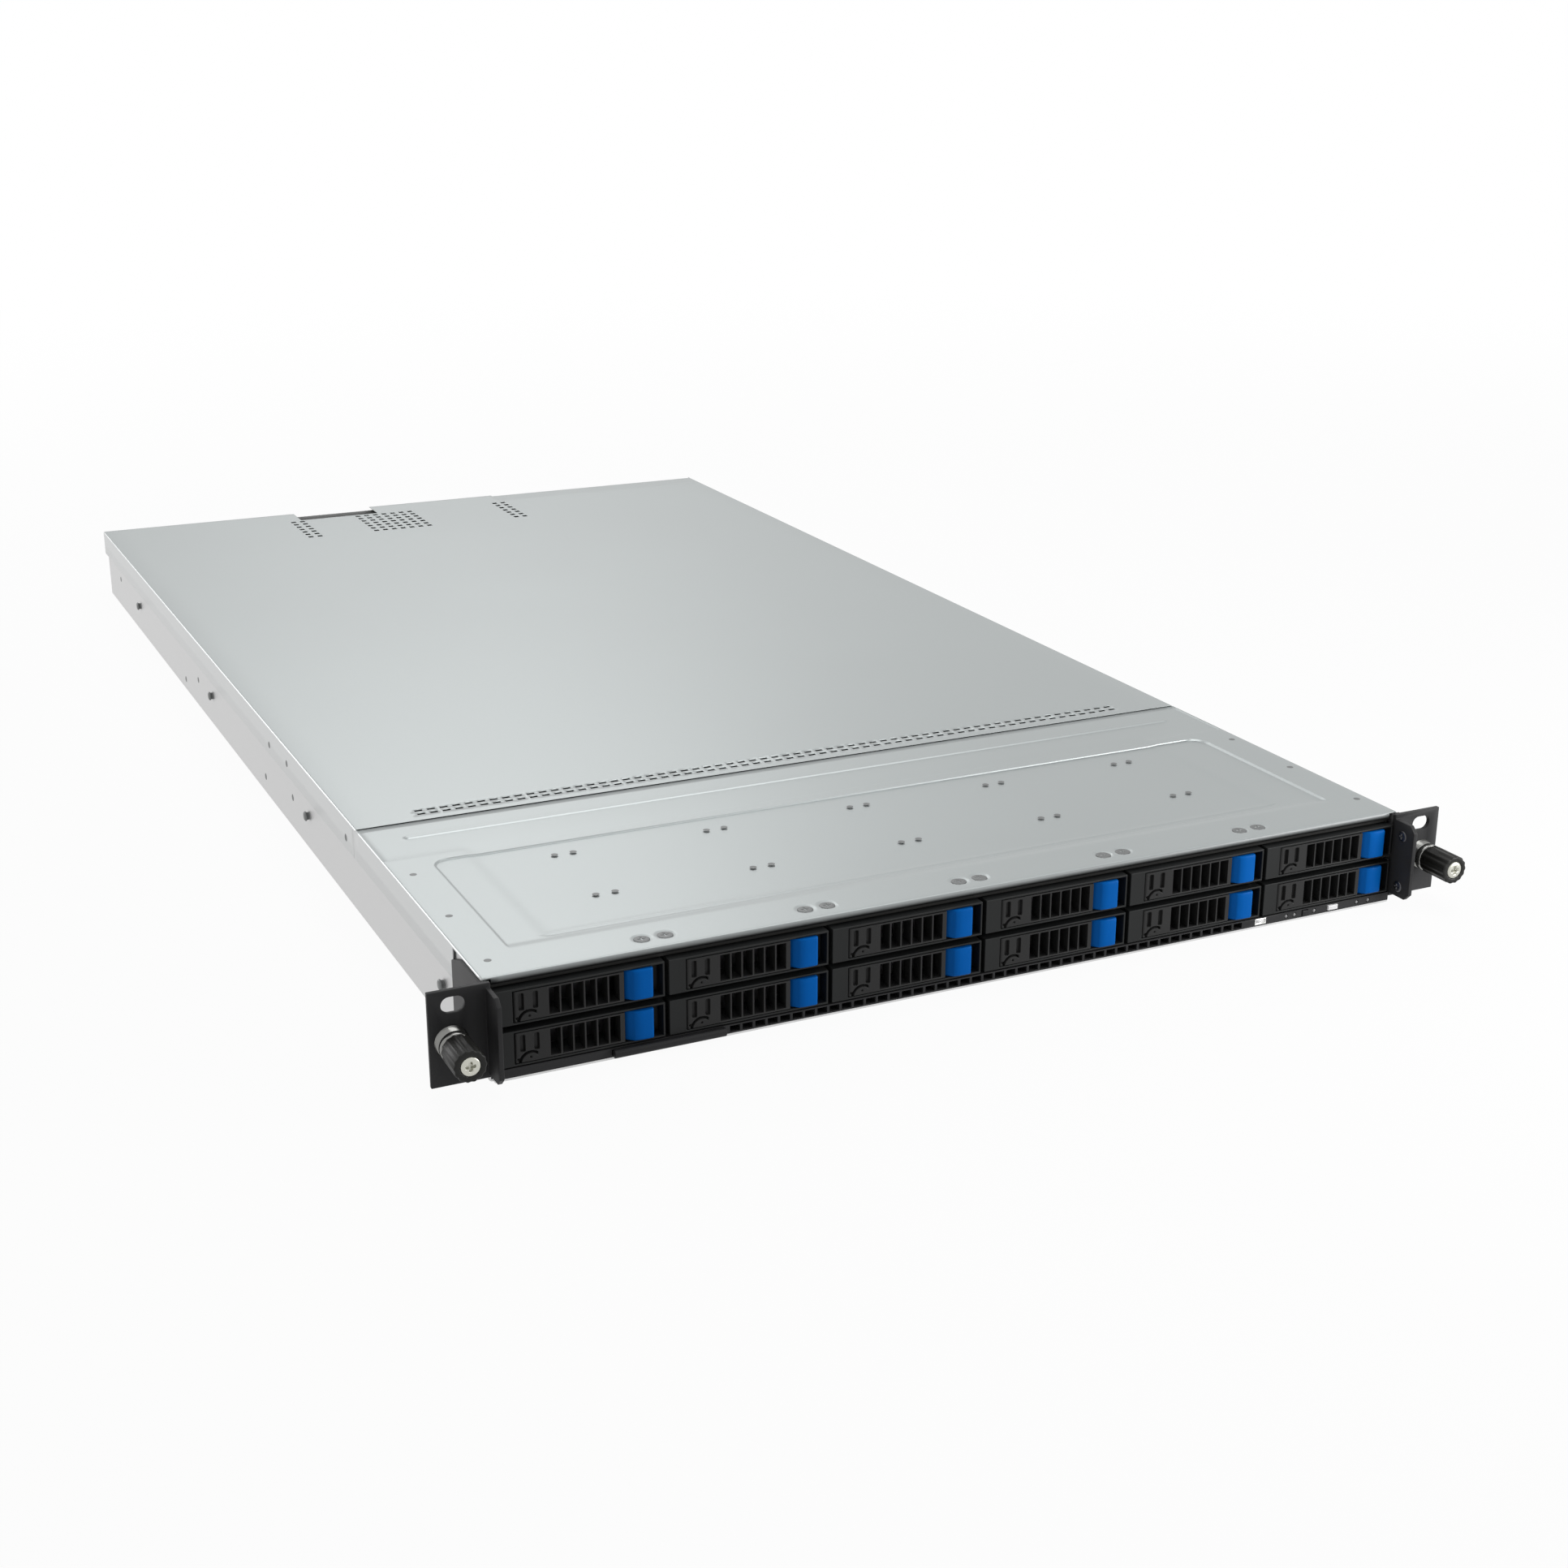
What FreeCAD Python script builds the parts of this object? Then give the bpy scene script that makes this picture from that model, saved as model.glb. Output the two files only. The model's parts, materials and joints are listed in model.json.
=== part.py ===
"""One-unit rack server with twelve 2.5-inch drive bays, in millimetres.

X runs to the right as seen from the front, Y to the back and Z up.  The origin lies on the
bottom of the chassis, half way across, in the plane of the ears' rear faces, which is where
the server meets the front posts of a rack.  Each sub-part has its own function, and each
solid or group of like solids is written to its own STEP file.
"""
import FreeCAD, Part
import math
import os

V = FreeCAD.Vector

# --- Overall sizes ---
ear_span = 482.6          # over both ears, the 19 inch rack width
ear_reach = 22.3          # ear past the cover's side skirt
body_height = 43.2        # bottom of the chassis to the top of the covers
cover_rear_y = 823.5      # rear edge of the rear cover
rear_overhang = 5.0       # the rear cover stands this far past the chassis
cover_sheet = 0.8         # covers
wall_sheet = 1.0          # chassis
play = 0.3                # gap between pieces that move, and under the covers
skirt_height = 15.0       # covers' side skirts
bend = 1.5                # outer bend radius of the chassis
edge_round = 0.6          # outer bend radius of the thinner covers

# --- Ears ---
ear_sheet = 2.0
ear_bottom = 3.0
ear_drop = 0.5            # top of the ear below the cover's top
ear_flange_length = 36.0  # along the chassis side
ear_flange_corner = (12.0, 4.5)  # cut off its upper rear corner
ear_flange_head = 0.7     # full-height front end of the flange, ahead of the cover
fin_reach = 13.0          # guard fin in front of the ear
fin_sheet = 2.0
fin_inset = 1.6           # fin's inner face, inside the chassis side
fin_bottom = 4.5
fin_drop = 2.6
fin_chamfer = 3.0
slot_inset = 10.0         # from the ear's outer edge
slot_drop = 6.8           # below the cover's top
slot_length = 9.5
slot_width = 6.6

# --- Captive thumbscrews ---
screw_inset = 8.75        # from the ear's outer edge
screw_drop = 0.4          # below the middle of the height
shank_r = 2.5             # M5 thread
neck_r = 2.0              # the screw is captive on its neck
shank_tip_y = 10.0
ferrule_r = 6.4
ferrule_length = 7.0
knob_r = 6.6
knob_length = 16.2
knob_ribs = 14
knob_rib_depth = 0.35
screw_head_r = 4.0
screw_head_rise = 0.4
screw_cross = (3.6, 1.0)
screw_cross_depth = 1.4

# --- Drive bays: 6 columns, 2 rows ---
columns = 6
rows = 2
cage_end = 0.9            # chassis wall to the outer column's side
bay_headroom = 1.6        # above the upper row
bay_floor_z = 5.2         # underside of the lower trays
divider_sheet = 0.6
runner_width = 1.6
runner_sheet = 0.8
flange_width = 17.0       # top flange of a divider, screwed to the front cover
flange_sheet = 0.8
flange_setback = 7.0      # from the front edge of the divider

# --- Drive tray ---
tray_gap = 1.8            # between neighbouring trays
tray_sheet = 0.7
bezel_gap = 2.5           # between the rows' bezels
bezel_lift = 0.2          # bezel's bottom edge above the tray's underside
bezel_depth = 12.0
bezel_border = 0.9
pad_width = 7.3           # smooth block at the bezel's left
drive_margin = 0.35       # drive narrower than its tray
drive_length = 100.2
drive_drop = 0.2          # drive lower than the bezel
drive_gap = 2.0           # between the bezel and the drive
tray_tail = 1.0           # the drive stands this far past its carrier

# --- Ejector lever with its vanes ---
lever_sheet = 2.0
lever_latch_gap = 0.7
lever_stile = 2.3         # right end of the grille
grille_offset = 14.2      # first vane, from the lever's left end
vane_cells = 6
vane_sheet = 1.0
vane_depth = 6.0
rail_height = 1.2         # above and below the cells
tongue_slots = (3.1, 8.9) # from the lever's left end
tongue_slot_width = 1.3
tongue_slot_depth = 1.2
tongue_slot_foot = 2.5    # above the lever's bottom edge
tongue_slot_top = 1.0

# --- Release latch ---
latch_inset = 16.5        # left side, from the tray's right side
latch_facet = (2.8, 1.1)  # width and depth of the sloping left face
latch_width = 11.2
latch_rise = 1.5          # in front of the bezel
latch_depth = 5.2         # behind the bezel's front
latch_web = 1.0           # wall behind the latch
latch_ease = 0.8          # right edge of the latch's front

# --- Front panel under the trays ---
panel_top = 4.9
panel_depth = 10.0
cell_pitch = 5.6
cell_width = 4.4
cell_height = 2.6
cell_margins = (2.5, 6.0) # from the tab and to the middle of the port
top_bar_drop = 1.2        # below the cage's top
top_bar_height = 2.0
port_inset = 72.0         # from the panel's right end
port_size = (6.0, 2.8)
led_insets = (57.8, 53.2, 42.2, 18.1, 11.6)
led_size = (1.8, 1.8)
power_inset = 31.9
power_size = (5.7, 2.4)
ident_inset = 47.4
ident_size = (3.0, 2.4)
button_rise = 0.6
button_depth = 6.0
button_ease = 0.3
port_sheet = 0.4
port_floor = 2.0
port_tongue = (3.8, 0.7)
tab_inset = 72.5          # from the panel's left end
tab_width = 48.0
tab_sheet = 1.6
tab_length = 62.0
tab_lip = (2.6, 3.4)      # forward reach and height of the grip
tab_ease = 0.8

# --- Covers ---
cover_front_y = 1.0
front_lip = 3.0
seam_y = 179.3
step_setback = 20.5       # behind the backplane the front cover drops
step_drop = 0.4
side_margin = 19.0        # panel and bead end this far from the sides
recess_front_y = 28.0
recess_setback = 7.0      # from the drop
recess_drop = 0.6
recess_r = 8.0
bead_setback = 18.8       # bead ahead of the seam
bead_width = 4.0
skirt_joint_setback = 3.7 # behind the seam
vent_rows = (7.5, 12.2)   # behind the seam
vent_pitch = 6.0
vent_margin = 33.0        # from the sides
vent_size = (3.8, 2.0)
notch_x = (-87.0, -32.0)
notch_depth = 22.0
rear_step_x = 60.0
rear_step = 3.0

# --- Inside ---
socket_reach = 3.3        # backplane behind the drives
board_sheet = 1.6
socket_width = 34.0
socket_height = 6.0
socket_lift = 2.0         # above the tray's underside
air_window = (60.0, 4.0)  # in the backplane, between the rows
air_window_drop = 6.5     # its lower edge below the upper trays
fan_room = 1.0            # over the fans
fan_length = 56.0
fan_setback = 20.7        # behind the seam
fan_count = 8
fan_margin = 2.9          # at both ends of the row
fan_rim = 1.4
fan_hub_r = 8.5
fan_blade_sheet = 1.6
fan_blade_count = 4
fan_blade_gap = 3.0       # tip clearance
rotor_length = 24.0       # rotor in front of its strut
strut_size = (3.0, 2.0)
board_z = 7.0
board_setback = 8.0       # behind the fans
board_step_gap = 23.5     # in front of the power supplies
board_rear_gap = 6.5
board_side_gap = 4.9
board_psu_gap = 6.5       # beside the power supplies
stand_r = 3.0
cpu_shift = 1.0           # inwards from the middle of the half board
cpu_setback = 56.0
sink_size = (78.0, 108.0)
sink_room = 3.8           # under the cover
sink_base = 4.0
sink_fins = 12
sink_fin_sheet = 0.8
cpu_block = (58.0, 78.0, 4.0)
cpu_inset = 15.0          # processor behind the front of its heat sink
dimm_size = (1.4, 133.35)
dimm_room = 2.3           # under the cover
dimm_socket = (6.4, 142.0, 5.0)
dimm_first = 49.0
dimm_pitch = 9.4
dimm_count = 4
dimm_setback = 39.0

# --- Power supplies ---
psu_width = 54.5
psu_room = 1.1            # over the power supplies
psu_length = 195.0
psu_gap = 3.0
psu_side_gap = 2.4
inlet_size = (24.0, 16.0)
inlet_corner = 5.0
inlet_depth = 14.0
inlet_rim = 2.0
inlet_rim_rise = 1.2
handle_reach = 24.0
handle_bar = 5.0
handle_width = 6.0
handle_margin = 4.8       # above and below the handle
handle_round = 6.0
handle_inset = 15.0       # handle's middle from the right side of the case
inlet_inset = 4.0
grille_bars = 5
grille_pitch = 5.2
grille_slot = (3.0, 3.0)  # width and depth
grille_margin = 3.6       # above the slots
grille_lift = 25.5
psu_latch_size = (4.0, 10.0, 16.0)
psu_latch_inset = 3.5
psu_latch_ease = 1.0

# --- Rear ports ---
connector_floor = 3.0
lan_size = (11.8, 8.0)
lan_lift = 2.5            # mouth above the underside of the block
lan_block = (16.0, 24.0, 13.5)
lan_insets = (132.5, 114.5)   # from the power supplies' bay
usb_size = (13.1, 5.2)
usb_block = (14.5, 20.0, 15.0)
usb_inset = 88.5
usb_lifts = (1.2, 8.6)
usb_tongue = (11.0, 1.6)
usb_tongue_inset = 2.0
video_block = (31.0, 12.0, 12.5)
video_size = (16.5, 7.5)
video_inset = 56.5
slot_cover_gaps = (11.9, 30.0)  # to the side wall and to the network port
slot_cover_bottom = 10.0
slot_cover_drop = 13.2    # below the cover's top
slot_cover_sheet = 0.9
slot_cover_lap = 3.0
rear_slot_lift = 2.0
rear_slot_pitch = 6.5
rear_slot_size = (3.6, 12.0)
rear_slots_insets = (26.5, 4.5)

# --- Fasteners ---
stud_r = 2.4
stud_reach = 2.2
stud_count = 4
stud_ends = (55.0, 112.5) # to the chassis' front and rear
stud_z = 18.8
cover_screw_r = 3.6
cover_screw_rise = 0.25
cover_screw_pair = 5.0
cover_screw_y = 11.5
fin_screw_r = 2.6
fin_screw_rise = 0.6
fin_screw_insets = (5.0, 6.6)
fin_screw_y = -7.5

# --- Worked out from the sizes above: outside ---
ear_half = ear_span / 2
body_half = ear_half - ear_reach
chassis_half = body_half - cover_sheet - play
inner_half = chassis_half - wall_sheet
chassis_rear_y = cover_rear_y - rear_overhang
face_y = -ear_sheet                       # front plane of ears, trays and front panel
cover_under = body_height - cover_sheet
wall_top = cover_under - step_drop        # the front cover's rear strip rests on the walls
cage_top = cover_under - recess_drop      # the recessed panel rests on the dividers
cage_front_y = face_y + panel_depth
skirt_bottom = body_height - skirt_height
fin_inner_x = chassis_half - fin_inset
fin_top = body_height - fin_drop
ear_top = body_height - ear_drop
slot_x = ear_half - slot_inset
slot_z = body_height - slot_drop
screw_x = ear_half - screw_inset
screw_z = body_height / 2 - screw_drop
shank_hole_r = (shank_r + play) / math.cos(math.pi / 8)
fin_screw_z = (fin_bottom + fin_screw_insets[0], fin_top - fin_screw_insets[1])
stud_pitch = (chassis_rear_y - sum(stud_ends)) / (stud_count - 1)

# --- Worked out: drive bays ---
pitch_x = 2 * (inner_half - cage_end) / columns
pitch_z = (cage_top - bay_floor_z - bay_headroom) / rows
bezel_height = pitch_z - bezel_gap
tray_width = pitch_x - tray_gap
tray_half = tray_width / 2
drive_width = tray_width - drive_margin
drive_height = bezel_height - drive_drop
drive_front_y = face_y + bezel_depth + drive_gap
drive_rear_y = drive_front_y + drive_length
tray_rear_y = drive_rear_y - tray_tail
latch_left = tray_half - latch_inset
latch_right = latch_left + latch_width
lever_left = -tray_half + pad_width + play
lever_end = latch_left - lever_latch_gap
lever_pivot_x = lever_left + lever_sheet / 2
lever_height = bezel_height - 2 * bezel_border - 2 * play
vane_first = lever_left + grille_offset
vane_pitch = (lever_end - lever_stile + vane_sheet / 2 - vane_first) / vane_cells
backplane_y = drive_rear_y + socket_reach

# --- Worked out: front panel and covers ---
panel_half = fin_inner_x - play
port_x = panel_half - port_inset
led_x = [panel_half - inset for inset in led_insets]
power_x = panel_half - power_inset
ident_x = panel_half - ident_inset
tab_centre = tab_inset - panel_half
cells_from = tab_centre + tab_width / 2 + cell_margins[0]
cells_to = port_x - cell_margins[1]
top_bar_top = cage_top - top_bar_drop
step_y = backplane_y + step_setback
recess_half = body_half - side_margin
recess_rear_y = step_y - recess_setback
bead_y = seam_y - bead_setback
skirt_joint_y = seam_y + skirt_joint_setback
vent_half_count = round((body_half - vent_margin) / vent_pitch)

# --- Worked out: inside and rear ---
fan_size = wall_top - wall_sheet - fan_room
fan_front_y = seam_y + fan_setback
fan_pitch = 2 * (inner_half - fan_margin) / fan_count
fan_bore_r = fan_size / 2 - fan_rim
psu_height = wall_top - wall_sheet - play - psu_room
psu_bay_left = inner_half - psu_side_gap - 2 * psu_width - psu_gap
handle_height = psu_height - 2 * handle_margin
board_front_y = fan_front_y + fan_length + board_setback
board_step_y = chassis_rear_y - psu_length - board_step_gap
board_rear_y = chassis_rear_y - board_rear_gap
board_half = inner_half - board_side_gap
board_right_x = psu_bay_left - board_psu_gap
cpu_x = board_half / 2 - cpu_shift
cpu_front_y = board_front_y + cpu_setback
dimm_front_y = board_front_y + dimm_setback
port_z = board_z + board_sheet            # connectors stand on the mainboard
lan_x = [psu_bay_left - inset for inset in lan_insets]
usb_x = psu_bay_left - usb_inset
video_x = psu_bay_left - video_inset
rear_slots_x = [psu_bay_left - inset for inset in rear_slots_insets]
slot_cover_x = (slot_cover_gaps[0] - inner_half, lan_x[0] - slot_cover_gaps[1])
slot_cover_z = (slot_cover_bottom, body_height - slot_cover_drop)


def box(x0, x1, y0, y1, z0, z1):
    """Block between two corners."""
    return Part.makeBox(x1 - x0, y1 - y0, z1 - z0, V(x0, y0, z0))


def face_of(points):
    """Flat face inside a closed run of points."""
    return Part.Face(Part.makePolygon([V(*p) for p in points] + [V(*points[0])]))


def prism(cx, cz, r, y0, y1, sides, turn=0.0):
    """Regular prism along Y."""
    step = 2 * math.pi / sides
    ring = [(cx + r * math.cos(turn + i * step), y0, cz + r * math.sin(turn + i * step))
            for i in range(sides)]
    return face_of(ring).extrude(V(0, y1 - y0, 0))


def obround(cx, cz, length, width, y0, y1):
    """Slot with round ends, long along X, cut through along Y."""
    half = (length - width) / 2
    ends = [Part.makeCylinder(width / 2, y1 - y0, V(cx + s * half, y0, cz), V(0, 1, 0))
            for s in (-1, 1)]
    middle = box(cx - half, cx + half, y0, y1, cz - width / 2, cz + width / 2)
    return middle.fuse(ends).removeSplitter()


def rounded_plate(x0, x1, y0, y1, z0, z1, r):
    """Plate with its upright edges rounded."""
    plate = box(x0, x1, y0, y1, z0, z1)
    upright = [e for e in plate.Edges if abs(e.Vertexes[0].Z - e.Vertexes[-1].Z) > 1e-6]
    return plate.makeFillet(r, upright)


def mirrored(shape):
    """The same piece for the other side."""
    return shape.mirror(V(0, 0, 0), V(1, 0, 0))


def save(name, shapes):
    """Write one node."""
    solids = shapes if isinstance(shapes, list) else [shapes]
    joined = Part.makeCompound(solids) if len(solids) > 1 else solids[0]
    joined.exportStep("parts/" + name + ".step")
    return joined


def column_x(column):
    return (column - (columns - 1) / 2) * pitch_x


def row_z(row):
    return bay_floor_z + row * pitch_z


# ---------------------------------------------------------------- chassis
def chassis():
    """Folded steel tub: floor, two side walls and the rear wall with its windows."""
    outline = [(-chassis_half, play, 0), (chassis_half, play, 0),
               (chassis_half, play, wall_top), (inner_half, play, wall_top),
               (inner_half, play, wall_sheet), (-inner_half, play, wall_sheet),
               (-inner_half, play, wall_top), (-chassis_half, play, wall_top)]
    tub = face_of(outline).extrude(V(0, chassis_rear_y - play, 0))
    corners = [e for e in tub.Edges
               if abs(abs(e.Vertexes[0].X) - chassis_half) < 1e-6
               and abs(e.Vertexes[0].Z) < 1e-6 and abs(e.Vertexes[-1].Z) < 1e-6
               and e.Length > 2 * body_half]
    tub = tub.makeFillet(bend, corners)
    lip = box(-panel_half, panel_half, face_y + play, play, 0, wall_sheet)
    rear = box(-inner_half, psu_bay_left - play, chassis_rear_y - wall_sheet, chassis_rear_y,
               wall_sheet, wall_top)
    posts = [hexagon(x, y, stand_r, wall_sheet, board_z) for x, y in stand_places()]
    return tub.fuse([lip, rear] + posts).removeSplitter().cut(rear_windows())


def hexagon(x, y, r, z0, z1):
    """Upright six-sided stand-off."""
    ring = [(x + r * math.cos(i * math.pi / 3), y + r * math.sin(i * math.pi / 3), z0)
            for i in range(6)]
    return face_of(ring).extrude(V(0, 0, z1 - z0))


def stand_places():
    """Mainboard stand-offs."""
    inset = 12.0
    front = board_front_y + inset
    middle = board_step_y - inset
    rear = board_rear_y - inset
    return [(-board_half + inset, front), (0, front), (board_half - inset, front),
            (-board_half + inset, middle), (0, middle), (board_half - inset, middle),
            (-board_half + inset, rear), (board_right_x - inset, rear)]


def rear_windows():
    """Cut-outs of the rear wall: ports, expansion slot and upright vent slots."""
    y0 = chassis_rear_y - wall_sheet - 1
    y1 = chassis_rear_y + 1
    cuts = [box(port[0] - port[1] / 2 - play, port[0] + port[1] / 2 + play, y0, y1,
                port_z, port_z + port[2] + play) for port in rear_port_sizes()]
    cuts.append(box(slot_cover_x[0], slot_cover_x[1], y0, y1, slot_cover_z[0], slot_cover_z[1]))
    x = rear_slots_x[0]
    while x < rear_slots_x[1]:
        cuts.append(box(x - rear_slot_size[0] / 2, x + rear_slot_size[0] / 2, y0, y1,
                        port_z + rear_slot_lift, port_z + rear_slot_lift + rear_slot_size[1]))
        x += rear_slot_pitch
    return cuts


def rear_port_sizes():
    """Centre, width and height of each connector block at the rear."""
    lans = [(x, lan_block[0], lan_block[2]) for x in lan_x]
    return lans + [(usb_x, usb_block[0], usb_block[2]), (video_x, video_block[0], video_block[2])]


# ---------------------------------------------------------------- covers
def skirts(y0, y1):
    """Side skirts of a cover, as two plates that overlap its top sheet."""
    out = []
    for side in (-1, 1):
        x0, x1 = sorted((side * (body_half - cover_sheet), side * body_half))
        out.append(box(x0, x1, y0, y1, skirt_bottom, cover_under))
    return out


def rounded_long_edges(shape, y_from):
    """Bend radius along the two upper outer edges."""
    edges = [e for e in shape.Edges
             if abs(abs(e.Vertexes[0].X) - body_half) < 1e-6
             and abs(abs(e.Vertexes[-1].X) - body_half) < 1e-6
             and abs(e.Vertexes[0].Z - body_height) < 1e-6
             and abs(e.Vertexes[-1].Z - body_height) < 1e-6
             and max(e.Vertexes[0].Y, e.Vertexes[-1].Y) > y_from]
    return shape.makeFillet(edge_round, edges)


def front_cover():
    """Fixed cover over the drive bays, with a shallow panel and a stiffening bead."""
    top = box(-body_half, body_half, cover_front_y, step_y, cover_under, body_height)
    strip_top = body_height - step_drop
    strip = box(-body_half, body_half, step_y, seam_y - play, cover_under - step_drop, strip_top)
    web = box(-body_half, body_half, step_y - cover_sheet, step_y, cover_under - step_drop,
              body_height)
    lip = box(-fin_inner_x, fin_inner_x, cover_front_y, cover_front_y + cover_sheet,
              body_height - front_lip, cover_under)
    side = skirts(ear_flange_length + play, skirt_joint_y - play)
    body = top.fuse([strip, web, lip] + side)
    pocket = rounded_plate(-recess_half, recess_half, recess_front_y, recess_rear_y,
                           body_height - recess_drop, body_height + 1, recess_r)
    under = box(-recess_half - cover_sheet, recess_half + cover_sheet,
                recess_front_y - cover_sheet, recess_rear_y + cover_sheet,
                cover_under - recess_drop, cover_under)
    body = body.fuse([under, bead(strip_top)]).cut(pocket).removeSplitter()
    front_edge = [e for e in body.Edges
                  if abs(e.Vertexes[0].Y - cover_front_y) < 1e-6
                  and abs(e.Vertexes[-1].Y - cover_front_y) < 1e-6
                  and abs(e.Vertexes[0].Z - body_height) < 1e-6
                  and abs(e.Vertexes[-1].Z - body_height) < 1e-6 and e.Length > body_half]
    return body.makeFillet(edge_round, front_edge)


def bead(z0):
    """Stiffening bead across the cover, its ends tapered."""
    half = bead_width / 2
    taper = half / 2
    ring = [(side * (recess_half - a), bead_y + side * b, z0)
            for side in (-1, 1) for a, b in ((taper, -half), (0, -taper), (0, taper), (taper, half))]
    return face_of(ring).extrude(V(0, 0, body_height - z0))


def rear_cover():
    """Sliding cover over the fans and the mainboard, vented along its front edge."""
    top = box(-body_half, body_half, seam_y, cover_rear_y, cover_under, body_height)
    body = rounded_long_edges(top.fuse(skirts(skirt_joint_y, cover_rear_y)).removeSplitter(),
                              seam_y)
    z0, z1 = cover_under - 1, body_height + 1
    cuts = [box(notch_x[0], notch_x[1], cover_rear_y - notch_depth, cover_rear_y + 1, z0, z1),
            box(rear_step_x, body_half - cover_sheet, cover_rear_y - rear_step,
                cover_rear_y + 1, z0, z1)]
    for row in vent_rows:
        for i in range(-vent_half_count, vent_half_count + 1):
            cuts.append(vent_hole(i * vent_pitch, seam_y + row, z0, z1))
    return body.cut(cuts)


def vent_hole(x, y, z0, z1):
    return box(x - vent_size[0] / 2, x + vent_size[0] / 2, y - vent_size[1] / 2,
               y + vent_size[1] / 2, z0, z1)


# ---------------------------------------------------------------- ears and thumbscrews
def right_ear():
    """Rack bracket: ear plate, flange along the chassis side and guard fin at the front."""
    plate = box(fin_inner_x, ear_half, face_y, 0, ear_bottom, ear_top)
    head = box(chassis_half, chassis_half + ear_sheet, 0, ear_flange_head, ear_bottom, ear_top)
    rear, top = ear_flange_length, cover_under - play
    outline = [(chassis_half, 0, ear_bottom), (chassis_half, rear, ear_bottom),
               (chassis_half, rear, top - ear_flange_corner[1]),
               (chassis_half, rear - ear_flange_corner[0], top), (chassis_half, 0, top)]
    flange = face_of(outline).extrude(V(ear_sheet, 0, 0))
    front = face_y - fin_reach
    side = [(fin_inner_x, face_y, fin_bottom), (fin_inner_x, front + fin_chamfer, fin_bottom),
            (fin_inner_x, front, fin_bottom + fin_chamfer),
            (fin_inner_x, front, fin_top - fin_chamfer),
            (fin_inner_x, front + fin_chamfer, fin_top), (fin_inner_x, face_y, fin_top)]
    fin = face_of(side).extrude(V(fin_sheet, 0, 0))
    slot = obround(slot_x, slot_z, slot_length, slot_width, face_y - 1, 1)
    hole = prism(screw_x, screw_z, shank_hole_r, face_y, 0, 8)
    return plate.fuse([head, flange, fin]).removeSplitter().cut([slot, hole])


def right_thumbscrew():
    """Captive screw: ribbed knob, driver head in its end and the threaded shank behind."""
    rear = face_y - ferrule_length - play
    front = rear - knob_length
    step = math.pi / knob_ribs
    radii = [knob_r - knob_rib_depth * (i % 2) for i in range(2 * knob_ribs)]
    ring = [(screw_x + r * math.cos(i * step), front, screw_z + r * math.sin(i * step))
            for i, r in enumerate(radii)]
    knob = face_of(ring).extrude(V(0, knob_length, 0))
    head = prism(screw_x, screw_z, screw_head_r, front - screw_head_rise, front, 16)
    neck = prism(screw_x, screw_z, neck_r, rear, 0, 8)
    shank = Part.makeCylinder(shank_r, shank_tip_y, V(screw_x, 0, screw_z), V(0, 1, 0))
    long, short = screw_cross[0] / 2, screw_cross[1] / 2
    y0, y1 = front - screw_head_rise, front - screw_head_rise + screw_cross_depth
    cross = [box(screw_x - a, screw_x + a, y0, y1, screw_z - b, screw_z + b)
             for a, b in ((long, short), (short, long))]
    return knob.fuse([head, neck, shank]).cut(cross)


# ---------------------------------------------------------------- drive cage
def drive_cage():
    """Upright dividers with runners for both rows and a top flange, and two end plates."""
    y0, y1 = cage_front_y, backplane_y
    tab = tab_width / 2 + play
    tab_room = box(tab_centre - tab, tab_centre + tab, y0 - 1, face_y + tab_length + play,
                   wall_sheet - 1, panel_middle() + tab_sheet / 2 + play)
    out = []
    for k in range(1, columns):
        x = column_x(k) - pitch_x / 2
        web = box(x - divider_sheet / 2, x + divider_sheet / 2, y0, y1, wall_sheet, cage_top)
        cap = box(x - flange_width / 2, x + flange_width / 2, y0 + flange_setback, y1,
                  cage_top - flange_sheet, cage_top)
        runner = divider_sheet / 2 + runner_width
        runners = [box(x - runner, x + runner, y0 + bezel_depth, y1,
                       row_z(r) - play - runner_sheet, row_z(r) - play) for r in range(rows)]
        out.append(web.fuse([cap] + runners).removeSplitter().cut(tab_room))
    inner = column_x(columns - 1) + pitch_x / 2 - divider_sheet / 2
    ledges = [box(inner - runner_width, inner_half, y0 + bezel_depth, y1,
                  row_z(r) - play - runner_sheet, row_z(r) - play) for r in range(rows)]
    plate = box(inner, inner_half, y0, y1, wall_sheet, cage_top).fuse(ledges).removeSplitter()
    return out + [plate, mirrored(plate)]


# ---------------------------------------------------------------- tray, lever, latch
def bezel_z(row):
    z0 = row_z(row) + bezel_lift
    return z0, z0 + bezel_height


def tray(column, row):
    """Carrier with its open bezel, and the drive that is screwed on it."""
    x = column_x(column)
    z0, z1 = bezel_z(row)
    rear = face_y + bezel_depth
    frame = box(x - tray_half, x + tray_half, face_y, rear, z0, z1)
    opening = box(x - tray_half + pad_width, x + tray_half - bezel_border, face_y - 1, rear + 1,
                  z0 + bezel_border, z1 - bezel_border)
    wall_y = face_y + latch_depth + play
    wall = box(x + latch_left, x + tray_half - bezel_border, wall_y, wall_y + latch_web,
               z0 + bezel_border, z1 - bezel_border)
    floor = box(x - tray_half, x + tray_half, rear - 2, tray_rear_y, row_z(row),
                row_z(row) + tray_sheet)
    carrier = frame.cut(opening).fuse([wall, floor]).removeSplitter()
    drive = box(x - drive_width / 2, x + drive_width / 2, drive_front_y, drive_rear_y,
                row_z(row) + tray_sheet, row_z(row) + tray_sheet + drive_height)
    return [carrier, drive]


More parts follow.
